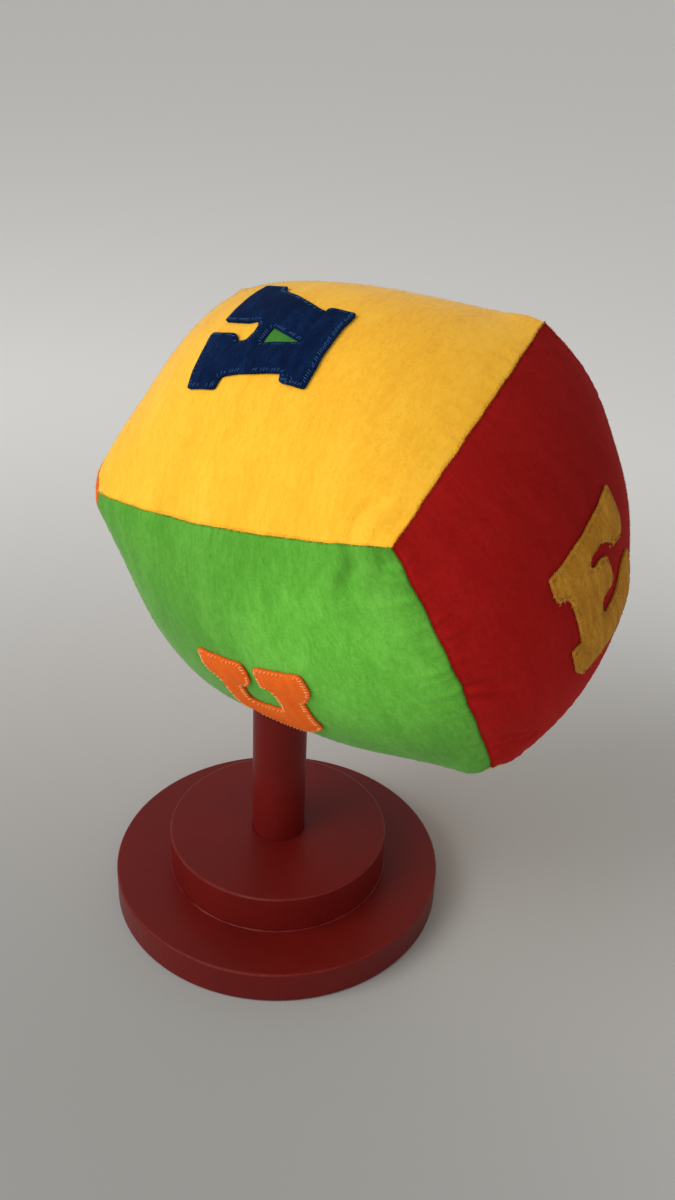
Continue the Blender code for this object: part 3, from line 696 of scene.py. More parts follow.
# %% [markdown]
# Beside every seam the cloth rolls in, deeper on some sides than on others, and the seam thread
# pulls it into small puckers. A few longer folds run in from the seams. Panels, letters, stitches
# and pile all ask the same function for the surface, so they agree about where it is. A roll is
# given by its width and depth. A fold runs from one s and t to another, and has a width and a
# height, which is below zero for a crease.

# %% Where the cloth lies
EVEN_ROLL = (0.0034, 0.0020)
SEAM_ROLLS = {
    ("yellow", "green"): (0.0030, 0.0004),
    ("green", "yellow"): (0.0040, 0.0013),
    ("green", "red"): (0.0080, 0.0030),
    ("red", "green"): (0.0062, 0.0022),
    ("yellow", "red"): (0.0036, 0.0004),
    ("red", "yellow"): (0.0030, 0.0004),
    ("navy", "yellow"): (0.0085, 0.0026),
    ("navy", "red"): (0.0085, 0.0026),
}
PUCKER_DEPTH = 0.00012
SEAM_PUCKERS = {
    ("green", "red"): 0.00034, ("red", "green"): 0.00026, ("red", "under"): 0.00026,
}
PUCKER_REACH = 0.0030
PUCKER_WAVES = ((720.0, 1.7, 1.0), (1130.0, 4.1, 0.8), (433.0, 2.9, 0.7))
PUCKER_EVEN = 0.65
PUCKER_UNEVEN = 0.35
PUCKER_DRIFT = 97.0
DEEPEST = 0.0032
FOLDS = (
    ("red", -0.04, -0.99, -0.15, -0.82, 0.0020, -0.0013),
    ("red", -0.15, -0.99, -0.28, -0.76, 0.0022, -0.0014),
    ("red", -0.09, -0.99, -0.21, -0.80, 0.0020, 0.0007),
    ("red", -0.62, -0.97, -0.72, -0.74, 0.0017, -0.0009),
    ("red", -0.70, -0.97, -0.79, -0.70, 0.0017, -0.0009),
    ("red", 0.02, -0.53, 0.09, -0.47, 0.0010, 0.0006),
    ("red", -0.09, -0.41, -0.04, -0.36, 0.0010, 0.0006),
    ("red", 0.08, -0.67, 0.11, -0.64, 0.0009, 0.0005),
    ("yellow", -0.80, -0.84, -0.98, -0.76, 0.0030, -0.0016),
    ("yellow", -0.84, -0.90, -0.99, -0.86, 0.0026, 0.0012),
    ("green", -0.79, 0.99, -0.75, 0.80, 0.0030, -0.0016),
    ("green", -0.72, 0.98, -0.66, 0.76, 0.0036, 0.0012),
    ("green", -0.93, 0.99, -0.91, 0.84, 0.0032, -0.0018),
)
FOLD_STRENGTH = 1.4
FOLD_SWAY = 0.0012
FOLD_SWAY_RATE = 260.0
FOLD_LEAD = 0.002
FOLD_FADE_IN = 0.0012
FOLD_FADE_OUT = 0.0028
SLOPE_REACH = 0.006


def cubic_weights(part):
    """The four weights of a smooth curve that runs through its points."""
    square, cube = part * part, part * part * part
    return (
        (-part + 2.0 * square - cube) / 2.0,
        (2.0 - 5.0 * square + 3.0 * cube) / 2.0,
        (part + 4.0 * square - 3.0 * cube) / 2.0,
        (cube - square) / 2.0,
    )


def padded_grid(grid):
    """A grid with one more row on each side, carried straight on."""
    grid = np.concatenate([2.0 * grid[:1] - grid[1:2], grid, 2.0 * grid[-1:] - grid[-2:-1]], axis=0)
    low, high = 2.0 * grid[:, :1] - grid[:, 1:2], 2.0 * grid[:, -1:] - grid[:, -2:-1]
    return np.concatenate([low, grid, high], axis=1)


padded_skin = {panel: padded_grid(grid) for panel, grid in skin_grids.items()}


def skin_at(panel, s, t):
    """The settled skin at any s and t."""
    grid = padded_skin[panel]
    across = (np.clip(s, -1.0, 1.0) + 1.0) / 2.0 * SKIN_CELLS
    along = (np.clip(t, -1.0, 1.0) + 1.0) / 2.0 * SKIN_CELLS
    row = np.minimum(across.astype(int), SKIN_CELLS - 1)
    column = np.minimum(along.astype(int), SKIN_CELLS - 1)
    weights_s, weights_t = cubic_weights(across - row), cubic_weights(along - column)
    total = np.zeros(s.shape + (3,))
    for i in range(4):
        for j in range(4):
            total += (weights_s[i] * weights_t[j])[..., None] * grid[row + i, column + j]
    return settled(total)


def seam_wave(along, number):
    """An uneven wave along a seam; each seam's number gives it a run of its own."""
    wave = np.zeros(along.shape)
    for rate, start, size in PUCKER_WAVES:
        wave += size * np.sin(along * rate + number * start)
    return wave * (PUCKER_EVEN + PUCKER_UNEVEN * np.sin(along * PUCKER_DRIFT + number))


def seam_roll(panel, axis, side):
    """How wide and deep the cloth rolls in at one seam of a panel, and how deep it puckers there."""
    pair = (panel, neighbour_at(axis, side))
    return *SEAM_ROLLS.get(pair, EVEN_ROLL), SEAM_PUCKERS.get(pair, PUCKER_DEPTH)


def seam_effects(panel, s, t):
    """How far the cloth sinks into its seams, and how far their puckers lift it."""
    first, second, _, _ = PANELS[panel]
    number = 4 * list(PANELS).index(panel)
    sink, lift = np.zeros(s.shape), np.zeros(s.shape)
    seams = ((first, 1, s, t), (first, -1, -s, t), (second, 1, t, s), (second, -1, -t, s))
    for axis, side, here, along in seams:
        number += 1
        away = HALF_EDGE * (1.0 - here)
        width, depth, pucker = seam_roll(panel, axis, side)
        part = np.clip(1.0 - away / width, 0.0, 1.0)
        sink = np.maximum(sink, depth * (1.0 - np.sqrt(1.0 - part * part)))
        fade = away / PUCKER_REACH * np.exp(1.0 - away / PUCKER_REACH)
        lift += pucker * fade * seam_wave(along * HALF_EDGE, number)
    return sink, lift


def fold_lift(panel, s, t):
    """How far the panel's folds lift or crease the cloth."""
    lift = np.zeros(s.shape)
    for name, s0, t0, s1, t1, width, height in FOLDS:
        if name != panel:
            continue
        way = np.array((s1 - s0, t1 - t0)) * HALF_EDGE
        long = float(np.hypot(*way))
        from_s, from_t = (s - s0) * HALF_EDGE, (t - t0) * HALF_EDGE
        along = (from_s * way[0] + from_t * way[1]) / long
        sway = FOLD_SWAY * np.sin(along * FOLD_SWAY_RATE)
        beside = (from_t * way[0] - from_s * way[1]) / long + sway
        begun = 1.0 + np.exp(-(along + FOLD_LEAD) / FOLD_FADE_IN)
        ended = 1.0 + np.exp((along - long) / FOLD_FADE_OUT)
        lift += height * (1.0 / begun / ended) * np.exp(-(beside / width) ** 2)
    return FOLD_STRENGTH * lift


def cloth_at(panel, s, t):
    """The finished surface of the cloth at s and t."""
    points = skin_at(panel, s, t)
    sink, lift = seam_effects(panel, s, t)
    moved = np.maximum(lift + fold_lift(panel, s, t) - sink, -DEEPEST)
    return points + unit(points - DIE_CENTRE) * moved[..., None]


def cloth_slopes(panel, s, t, reach=SLOPE_REACH):
    """The surface's two directions and its outward normal at s and t."""
    low_s, high_s = np.maximum(s - reach, -1.0), np.minimum(s + reach, 1.0)
    low_t, high_t = np.maximum(t - reach, -1.0), np.minimum(t + reach, 1.0)
    along_s = cloth_at(panel, high_s, t) - cloth_at(panel, low_s, t)
    along_t = cloth_at(panel, s, high_t) - cloth_at(panel, s, low_t)
    normal = np.cross(along_s, along_t) * PANELS[panel][3]
    return [unit(vector) for vector in (along_s, along_t, normal)]


highest = float(skin_grids["yellow"][..., 2].max())
print("cloth of the yellow panel reaches", round(highest, 4), "m")

# %% [markdown]
# The plush is a knitted cloth with a pile barely two millimetres long, brushed one way. From here
# it shows as fine streaks along the nap, larger patches where a hand has stroked it lighter or
# darker, and a pale bloom where the surface turns away. A wide patch of painted light and painted
# shade is laid into the colour of two panels: the green is painted lighter round one place and
# darker away from it, the red the other way round. The streaks need a direction, so they read the
# panel's own UV map, whose second axis runs along the nap. The bloom is the shader's sheen.

# %% Plush finish
STREAK_SHAPE = (1.0, 0.26, 1.0)
TUFT_SHAPE = (1.0, 0.45, 1.0)
PALER_TONES = (1.255, 1.62)
DARKER_TONES = (1.275, 0.91)
PAINTED_LIGHT_CORE = 0.08

plush, given, result = new_group(
    "short plush",
    {
        "Colour": (COLOUR, (0.8, 0.5, 0.1, 1.0)),
        "Stroked Dark": (COLOUR, (0.6, 0.3, 0.1, 1.0)),
        "Stroked Light": (COLOUR, (0.9, 0.6, 0.2, 1.0)),
        "Fineness": (NUMBER, 1.0),
        "Rubbed": (NUMBER, 0.0),
        "Rubbed Place": (VECTOR, (0.5, 0.5, 0.0)),
        "Rubbed Reach": (NUMBER, 0.5),
    },
    {"Colour": COLOUR, "Height": NUMBER},
)
nap = add_node(plush, "UVMap", "UV", {"uv_map": "nap"})
scaled = vector_maths(plush, "SCALE", nap, Scale=given.outputs["Fineness"])
bent = add_node(plush, "TexNoise", "Color", Vector=scaled, Scale=9.0, Detail=2.0)
swayed = vector_maths(plush, "ADD", scaled, vector_maths(plush, "SCALE", bent, Scale=0.035))
streaked = vector_maths(plush, "MULTIPLY", swayed, STREAK_SHAPE)
tufted = vector_maths(plush, "MULTIPLY", swayed, TUFT_SHAPE)
streaks = noise_of(plush, streaked, Scale=95.0, Detail=4.0, Roughness=0.62)
patches = noise_of(plush, streaked, Scale=15.0, Detail=3.0, Roughness=0.55)
fuzz = noise_of(plush, tufted, Scale=260.0, Detail=2.0)
tone = maths(plush, "MULTIPLY_ADD", fuzz, 0.55, maths(plush, "ADD", streaks, patches))
paler = ranged(plush, tone, From_Min=PALER_TONES[0], From_Max=PALER_TONES[1])
darker = ranged(plush, tone, From_Min=DARKER_TONES[0], From_Max=DARKER_TONES[1])
lit = mixed(plush, paler, given.outputs["Colour"], given.outputs["Stroked Light"])
shaded = mixed(plush, darker, lit, given.outputs["Stroked Dark"])
# Painted light and shade: the colour is scaled up or down round one place on the panel.
painted_light_fall = ranged(
    plush, vector_maths(plush, "DISTANCE", nap, given.outputs["Rubbed Place"]),
    {"interpolation_type": "SMOOTHSTEP"},
    From_Min=PAINTED_LIGHT_CORE, From_Max=given.outputs["Rubbed Reach"], To_Min=1.0, To_Max=-1.0,
)
painted_light_tone = maths(plush, "MULTIPLY_ADD", painted_light_fall, given.outputs["Rubbed"], 1.0)
set_inputs(
    plush, result,
    Colour=vector_maths(plush, "SCALE", shaded, Scale=painted_light_tone),
    Height=maths(plush, "MULTIPLY_ADD", fuzz, 0.8, streaks),
)

CLOTH_COLOURS = {
    "yellow_plush": ((0.900, 0.462, 0.029), (0.840, 0.400, 0.022), (0.940, 0.510, 0.041)),
    "green_plush": ((0.116, 0.415, 0.040), (0.086, 0.340, 0.028), (0.155, 0.490, 0.060)),
    "red_plush": ((0.310, 0.0070, 0.0060), (0.276, 0.0055, 0.0045), (0.345, 0.009, 0.0075)),
    "orange_plush": ((0.830, 0.130, 0.012), (0.745, 0.106, 0.010), (0.880, 0.165, 0.020)),
    "navy_plush": ((0.005, 0.017, 0.085), (0.003, 0.010, 0.055), (0.009, 0.030, 0.135)),
    "ochre_felt": ((0.460, 0.200, 0.016), (0.350, 0.142, 0.011), (0.640, 0.315, 0.038)),
    "letter navy": ((0.0012, 0.0082, 0.038), (0.0007, 0.005, 0.025), (0.0030, 0.018, 0.072)),
    "patch green": ((0.045, 0.190, 0.028), (0.034, 0.150, 0.021), (0.060, 0.230, 0.036)),
}
BLOOMS = {
    "yellow_plush": (0.95, 0.86, 0.60), "green_plush": (0.50, 0.70, 0.40),
    "red_plush": (0.55, 0.050, 0.045), "orange_plush": (0.90, 0.42, 0.20),
    "navy_plush": (0.04, 0.09, 0.24), "ochre_felt": (0.60, 0.44, 0.20),
    "letter navy": (0.012, 0.060, 0.18), "patch green": (0.20, 0.40, 0.16),
}
# Painted light and shade for two panels: the green is painted lighter round one place, the red darker.
NO_PAINTED_LIGHT = (0.0, (0.5, 0.5, 0.0), 0.5)
PAINTED_LIGHT_PATCHES = {
    "green_plush": (0.24, (0.21, 0.61, 0.0), 0.49), "red_plush": (-0.14, (0.80, 0.72, 0.0), 0.85),
}


def plush_material(cloth, fineness=1.0, sheen=0.35, bump=0.14, painted_light=NO_PAINTED_LIGHT):
    """The finish of one cloth: its nap, its strokes and its bloom."""
    made, tree, shader = new_material(f"{cloth} nap {fineness:g}")
    colour, dark, light = CLOTH_COLOURS[cloth]
    pile = place_group(
        tree, plush, Colour=(*colour, 1.0), Stroked_Dark=(*dark, 1.0), Stroked_Light=(*light, 1.0),
        Fineness=fineness, Rubbed=painted_light[0], Rubbed_Place=painted_light[1], Rubbed_Reach=painted_light[2],
    )
    set_inputs(
        tree, shader, Base_Color=pile["Colour"], Normal=bumped(tree, pile["Height"], bump, 0.0007),
        Roughness=0.92, Specular_IOR_Level=0.06, Sheen_Weight=sheen, Sheen_Roughness=0.42,
        Sheen_Tint=(*BLOOMS[cloth], 1.0),
    )
    return made


panel_cloths = {
    slot: plush_material(slot, painted_light=PAINTED_LIGHT_PATCHES.get(slot, NO_PAINTED_LIGHT))
    for slot in ("yellow_plush", "green_plush", "red_plush", "orange_plush", "navy_plush")
}
print("plush in", len(panel_cloths), "colours")

# %% [markdown]
# A panel is a body of cloth: the outer skin with its nap, and an inner skin three millimetres
# inside, joined along the seam line. The rows of the grid crowd together beside the seams, where
# the cloth turns most. The inner skin lies straight inwards towards the die's middle, so that two
# neighbouring panels meet in a mitre and never cross.

# %% Panels
PANEL_SLOTS = {
    "yellow": "yellow_plush", "under": "yellow_plush", "navy": "navy_plush",
    "green": "green_plush", "orange": "orange_plush", "red": "red_plush",
}
NAP_ALONG_S = {
    "yellow": True, "under": True, "navy": False, "green": False, "orange": True, "red": True,
}
PLUSH_THICKNESS = 0.0030
SEAM_GAP = 0.00005
PANEL_CELLS = 96
SEAM_ROWS = (0.0, 0.00035, 0.0008, 0.0014, 0.0022, 0.0032)


def panel_rows():
    """The places of a panel's rows, from seam to seam."""
    low = [-1.0 + (row + SEAM_GAP) / HALF_EDGE for row in SEAM_ROWS]
    first = low[-1]
    middle = [first + (-2.0 * first) * index / PANEL_CELLS for index in range(1, PANEL_CELLS)]
    return np.array(low + middle + [-place for place in reversed(low)])


def set_nap(made, s, t, along_s):
    """Write the nap's UV map: the second axis runs along the nap."""
    across, along = (t, s) if along_s else (s, t)
    place = np.stack([(across + 1.0) / 2.0, (along + 1.0) / 2.0], axis=-1)
    corners = np.empty(len(made.data.loops), dtype=int)
    made.data.loops.foreach_get("vertex_index", corners)
    layer = made.data.uv_layers.new(name="nap")
    layer.uv.foreach_set("vector", place.reshape(-1, 2)[corners].astype(np.float32).reshape(-1))


def panel_body(panel):
    """One panel as a closed body with its nap."""
    rows = panel_rows()
    s, t = np.meshgrid(rows, rows, indexing="ij")
    skin = skin_at(panel, s, t)
    inner = skin - unit(skin - DIE_CENTRE) * PLUSH_THICKNESS
    size = len(rows)
    grid = np.arange(size * size).reshape(size, size)
    quads = grid_faces(grid)
    round_edge = np.concatenate([grid[:-1, 0], grid[-1, :-1], grid[:0:-1, -1], grid[0, :0:-1]])
    after = np.roll(round_edge, -1)
    wall = np.stack([after, round_edge, round_edge + size * size, after + size * size], axis=-1)
    faces = np.concatenate([quads, quads[:, ::-1] + size * size, wall])
    if PANELS[panel][3] < 0:
        faces = faces[:, ::-1]
    points = np.concatenate([cloth_at(panel, s, t), inner]).reshape(-1, 3)
    made = object_from(f"panel_{panel}_cloth", points, faces)
    set_nap(made, np.concatenate([s, s]), np.concatenate([t, t]), NAP_ALONG_S[panel])
    return made


# %% [markdown]
# The post's pocket comes up through the seam between the green panel and the one underneath. A
# cylinder the size of the pocket is taken out of both with a Boolean.

# %% Cut the opening and finish the panels
BORE_RADIUS = 0.0184
BORE_TOP = 0.2752


def cut_bore(made):
    """Take the pocket's room out of a body."""
    bpy.ops.mesh.primitive_cylinder_add(
        vertices=64, radius=BORE_RADIUS, depth=BORE_TOP, location=(0.0, 0.0, BORE_TOP / 2)
    )
    cutter = bpy.context.object
    modify(made, "BOOLEAN", operation="DIFFERENCE", solver="EXACT", object=cutter)
    bpy.data.objects.remove(cutter, do_unlink=True)


panels = {}
for panel, slot in PANEL_SLOTS.items():
    made = panel_body(panel)
    if panel in ("green", "under"):
        cut_bore(made)
    pick(made)
    bpy.ops.object.shade_smooth_by_angle(angle=math.radians(60.0))
    dress(made, panel_cloths[slot], "die", f"panel_{panel}")
    panels[panel] = made

# %% [markdown]
# Shading alone leaves the edge of plush as clean as plastic. So short hairs stand on every panel:
# each is a thin closed spike of four faces that leans along the nap and strays a little. They
# blur the outline, and more of them grow beside the seams, which they hang over. The numbers come
# from a generator with a fixed seed, so every run grows the same pile.

# %% Pile
PILE_HAIRS = 9000
SEAM_HAIRS = 6000
SEAM_BAND = 0.013
OVERHANG = 1.1
HAIR_LENGTH = (0.0006, 0.0014)
HAIR_RADIUS = 0.00010
BORE_CLEAR = 0.0035
HAIR_STRAY = 0.35
HAIR_RISE = (12.0, 42.0)
PILE_EDGE = 0.995
SEAM_ENDS = 0.998
NEAREST_SEAM = 0.001
SPIKE_CORNERS = (0.0, 2.0944, 4.1888)
SPIKE_FACES = ((0, 2, 1), (0, 1, 3), (1, 2, 3), (2, 0, 3))


def spikes(name, root, way, normal, length, radius):
    """Thin closed spikes of four faces: each stands on its root and points its own way."""
    count = len(root)
    side_a = unit(np.cross(way, normal))
    side_b = np.cross(way, side_a)
    points = np.empty((count, 4, 3))
    for corner, angle in enumerate(SPIKE_CORNERS):
        aside = math.cos(angle) * side_a + math.sin(angle) * side_b
        points[:, corner] = root + radius * aside - normal * radius
    points[:, 3] = root + way * length
    base = np.arange(count)[:, None, None] * 4
    made = object_from(name, points.reshape(-1, 3), (base + np.array(SPIKE_FACES)).reshape(-1, 3))
    bpy.ops.object.shade_smooth()
    made.data.normals_split_custom_set_from_vertices(np.repeat(normal, 4, axis=0).tolist())
    return made


def pile_on(panel, seed):
    """The hairs of one panel as one mesh."""
    chance = np.random.default_rng(seed)
    s, t = chance.uniform(-PILE_EDGE, PILE_EDGE, (2, PILE_HAIRS))
    inset = chance.uniform(NEAREST_SEAM, SEAM_BAND, SEAM_HAIRS)
    near = (1.0 - inset) * chance.choice((-1.0, 1.0), SEAM_HAIRS)
    along = chance.uniform(-SEAM_ENDS, SEAM_ENDS, SEAM_HAIRS)
    turned = chance.uniform(size=SEAM_HAIRS) < 0.5
    s = np.concatenate([s, np.where(turned, near, along)])
    t = np.concatenate([t, np.where(turned, along, near)])
    root = cloth_at(panel, s, t)
    outside_bore = np.hypot(root[:, 0], root[:, 1]) > BORE_RADIUS + BORE_CLEAR
    kept = outside_bore | (root[:, 2] > DIE_CENTRE[2])
    root, s, t = root[kept], s[kept], t[kept]
    along_s, along_t, normal = cloth_slopes(panel, s, t)
    lay = -(along_s if NAP_ALONG_S[panel] else along_t)
    beside_s = (np.abs(s) > 1.0 - SEAM_BAND) * np.sign(s)
    beside_t = (np.abs(t) > 1.0 - SEAM_BAND) * np.sign(t)
    lay = unit(lay + OVERHANG * (beside_s[:, None] * along_s + beside_t[:, None] * along_t))
    cross = np.cross(normal, lay)
    count = len(root)
    stray = chance.normal(0.0, HAIR_STRAY, (count, 1))
    rise = np.radians(chance.uniform(*HAIR_RISE, (count, 1)))
    way = np.cos(rise) * (np.cos(stray) * lay + np.sin(stray) * cross) + np.sin(rise) * normal
    length = chance.uniform(*HAIR_LENGTH, (count, 1))
    made = spikes(f"pile_{panel}", root, way, normal, length, HAIR_RADIUS)
    set_nap(made, np.repeat(s, 4), np.repeat(t, 4), NAP_ALONG_S[panel])
    return made


for seed, (panel, slot) in enumerate(PANEL_SLOTS.items()):
    dress(pile_on(panel, 40 + seed), panel_cloths[slot], "die")

# %% [markdown]
# The letters are cut from plush or felt and sewn on round their edge. Each starts as a flat
# outline of straight strokes with slab serifs, whose corners are rounded as scissors leave them.
# The outline is filled as a flat curve, turned into a mesh and cut into small cells with bisect,
# because a cell can only bend at its edges. Then every point is laid on its panel.

# %% Letter outlines
CORNER_STEPS = 4
NEARLY_STRAIGHT = math.radians(25.0)


def rounded(outline, radius):
    """An outline whose corners are cut to a small arc."""
    made = []
    count = len(outline)
    for index, corner in enumerate(outline):
        here = Vector(corner)
        before = Vector(outline[index - 1]) - here
        after = Vector(outline[(index + 1) % count]) - here
        if before.length < 1e-6 or after.length < 1e-6:
            continue
        if before.angle(-after, 0.0) < NEARLY_STRAIGHT:
            made.append(here)
            continue
        cut = min(radius, 0.45 * before.length, 0.45 * after.length)
        start = here + before.normalized() * cut
        end = here + after.normalized() * cut
        for step in range(CORNER_STEPS + 1):
            part = step / CORNER_STEPS
            made.append(start * (1 - part) ** 2 + here * 2 * part * (1 - part) + end * part ** 2)
    return [tuple(point) for point in made]


def elliptic_arc(centre_x, centre_y, radius_x, radius_y, start, end, count):
    """Points of an elliptic arc, angles in degrees, both ends included."""
    angles = np.radians(np.linspace(start, end, count + 1))
    return [(centre_x + radius_x * math.cos(a), centre_y + radius_y * math.sin(a)) for a in angles]


def letter_a():
    """The A: its outside and the triangle inside it. Its feet are cut by eye and aren't alike."""
    top, foot = 0.0293, -0.0310
    slab = [(-0.0235, 0.0172), (-0.0235, top), (0.0293, top), (0.0293, 0.0172)]
    wide_foot = [
        (0.0243, 0.0165), (0.0302, -0.0138), (0.0365, -0.0145), (0.0365, foot), (0.0022, foot - 0.0025),
    ]
    notch = [(0.0046, -0.0175), (0.0096, -0.0140), (0.0090, -0.0100), (0.0035, -0.0086), (-0.0030, -0.0086)]
    narrow_foot = [
        (-0.0066, -0.0120), (-0.0047, -0.0150), (-0.0070, foot), (-0.0445, foot), (-0.0410, -0.0165),
    ]
    left_leg = [(-0.0350, -0.0140), (-0.0198, 0.0172)]
    counter = [(0.0050, 0.0180), (0.0100, -0.0012), (-0.0018, -0.0002)]
    outside = slab + wide_foot + notch + narrow_foot + left_leg
    return [rounded(outside, 0.0017), rounded(counter, 0.0007)]


def counter_patch():
    """The green triangle inside the A, which tucks under the A's edge."""
    return [[(0.0051, 0.0195), (0.0118, -0.0022), (-0.0034, -0.0012)]]


def letter_u():
    """The U: wide soft serifs, and a low flat gap between its strokes."""
    right = [(0.0040, 0.0338), (0.0285, 0.0338), (0.0283, 0.0205), (0.0245, 0.0137), (0.0226, 0.0130)]
    bowl = elliptic_arc(0.0, -0.0085, 0.0226, 0.0140, 0.0, -180.0, 22)
    left = [(-0.0222, 0.0150), (-0.0270, 0.0195), (-0.0287, 0.0255), (-0.0275, 0.0360), (-0.0018, 0.0345)]
    inside = [
        (-0.0008, 0.0285), (-0.0014, 0.0210), (-0.0062, 0.0155), (-0.0090, 0.0155), (-0.0096, 0.0035),
        (-0.0060, 0.0007), (0.0083, 0.0005), (0.0095, 0.0080), (0.0098, 0.0160), (0.0068, 0.0190),
        (0.0038, 0.0198),
    ]
    return [rounded(right + bowl + left + inside, 0.0030)]


def letter_e():
    """The E: its gaps end round, its middle arm is short and its lower arm is the thick one."""
    top_serif = [(-0.0350, 0.0378), (0.0318, 0.0368), (0.0316, 0.0160), (0.0290, 0.0100), (0.0240, 0.0086)]
    upper_gap = [(0.0182, 0.0117), (0.0112, 0.0201), (0.0058, 0.0240)]
    upper_gap += elliptic_arc(-0.0035, 0.0207, 0.0050, 0.0041, 90.0, 270.0, 8)
    arm = [
        (0.0010, 0.0168), (0.0072, 0.0126), (0.0068, 0.0092), (0.0080, 0.0040), (0.0080, -0.0025),
        (0.0056, -0.0045),
    ]
    lower_gap = elliptic_arc(-0.0035, -0.0090, 0.0056, 0.0058, 90.0, 270.0, 8)
    lower_gap += [
        (0.0040, -0.0146), (0.0097, -0.0136), (0.0154, -0.0107), (0.0200, -0.0074), (0.0240, -0.0063),
    ]
    low_serif = [
        (0.0310, -0.0070), (0.0335, -0.0120), (0.0335, -0.0385), (0.0050, -0.0392), (-0.0312, -0.0337),
    ]
    stem = [
        (-0.0360, -0.0270), (-0.0374, -0.0120), (-0.0340, -0.0116), (-0.0292, -0.0120), (-0.0287, -0.0040),
        (-0.0289, 0.0130), (-0.0302, 0.0205), (-0.0330, 0.0236), (-0.0358, 0.0240), (-0.0364, 0.0290),
    ]
    return [rounded(top_serif + upper_gap + arm + lower_gap + low_serif + stem, 0.0013)]


def letter_i():
    """The I."""
    right = [
        (0.018, 0.034), (0.018, 0.0185), (0.0075, 0.0185), (0.0075, -0.0185), (0.018, -0.0185),
        (0.018, -0.034),
    ]
    return [rounded(right + [(-x, y) for x, y in right[::-1]], 0.0018)]


def letter_o():
    """The O: its outside and its inside."""
    outside = elliptic_arc(0.0, 0.0, 0.030, 0.034, 0.0, 360.0, 56)[:-1]
    inside = elliptic_arc(0.0, 0.0, 0.015, 0.019, 0.0, 360.0, 40)[:-1]
    return [outside, inside]


print("outline of the A has", len(letter_a()[0]), "points")

# %% [markdown]
# A letter's table row gives its outline, its panel, its middle there, its turn in degrees, the
# slot of its cloth and the cloth's finish. A cut piece of plush is thinnest at its sewn edge, so a
# letter swells towards its middle. The green patch inside the A is thinner than a letter and lies
# closer to the panel.

# %% Lay a flat letter on its panel
LETTER_CELL = 0.0022
LETTER_GAP = 0.0003
LETTER_THICKNESS = 0.0013
LETTER_EDGE = 0.0004
LETTER_BUILD = (LETTER_GAP, LETTER_THICKNESS, LETTER_EDGE)
PATCH_BUILD = (0.5 * LETTER_GAP, 0.35 * LETTER_THICKNESS, 0.3 * LETTER_EDGE)
LETTER_SLOPE_REACH = 0.02
PUFF_HEIGHT = 0.0011
PUFF_REACH = 0.0034
LETTERS = {
    "letter_a": (letter_a, "yellow", (-0.0013, 0.0006), 180.0, "navy_plush", "letter navy"),
    "letter_a_counter": (
        counter_patch, "yellow", (-0.0013, 0.0006), 180.0, "green_plush", "patch green"
    ),
    "letter_u": (letter_u, "green", (-0.004, -0.0170), 0.0, "orange_plush", "orange_plush"),
    "letter_e": (letter_e, "red", (-0.0150, 0.0030), 1.0, "ochre_felt", "ochre_felt"),
    "letter_i": (letter_i, "orange", (0.0, 0.0), 0.0, "green_plush", "green_plush"),
    "letter_o": (letter_o, "navy", (0.0, 0.0), 0.0, "yellow_plush", "yellow_plush"),
}


def letter_to_panel(panel, x, y, centre, turn):
    """Where a letter's own points lie on its panel, as s and t."""
    cosine, sine = math.cos(math.radians(turn)), math.sin(math.radians(turn))
    across, upward = x * cosine - y * sine, x * sine + y * cosine
    first, second, _, side = PANELS[panel]
    if second == 2:
        return (centre[0] + side * across) / HALF_EDGE, (centre[1] + upward) / HALF_EDGE
    if first == 2:
        return (centre[0] + upward) / HALF_EDGE, (centre[1] - side * across) / HALF_EDGE
    return (centre[0] + across) / HALF_EDGE, (centre[1] + upward) / HALF_EDGE


def flat_letter(name, outlines):
    """A filled flat outline, cut into small cells."""
    flat = [[(x, y, 0.0) for x, y in outline] for outline in outlines]
    made = mesh_from_curve(name, flat, True, dimensions="2D", fill_mode="BOTH")
    bpy.ops.object.mode_set(mode="EDIT")
    span = max(max(abs(x), abs(y)) for outline in outlines for x, y in outline)
    cuts = int(span / LETTER_CELL)
    for normal in ((1.0, 0.0, 0.0), (0.0, 1.0, 0.0)):
        for index in range(-cuts, cuts + 1):
            place = tuple(value * index * LETTER_CELL for value in normal)
            bpy.ops.mesh.select_all(action="SELECT")
            bpy.ops.mesh.bisect(plane_co=place, plane_no=normal)
    bpy.ops.mesh.select_all(action="SELECT")
    bpy.ops.mesh.remove_doubles(threshold=0.00002)
    bpy.ops.object.mode_set(mode="OBJECT")
    return made


def puffed(inset):
    """How far a letter swells at a distance in from its edge."""
    return PUFF_HEIGHT * (1.0 - np.exp(-inset / PUFF_REACH))


def puff(flat, outlines):
    """How far a letter swells at each of its points: nothing at its edge, most in its middle."""
    edge = np.concatenate([np.array(outline + outline[:1]) for outline in outlines])
    starts, ends = edge[:-1], edge[1:]
    way = ends - starts
    long = np.maximum(np.sum(way ** 2, axis=1), 1e-12)
    offset = flat[:, None, :2] - starts[None]
    part = np.clip(np.sum(offset * way[None], axis=2) / long, 0.0, 1.0)
    gap = np.linalg.norm(offset - part[..., None] * way[None], axis=2).min(axis=1)
    return puffed(gap)


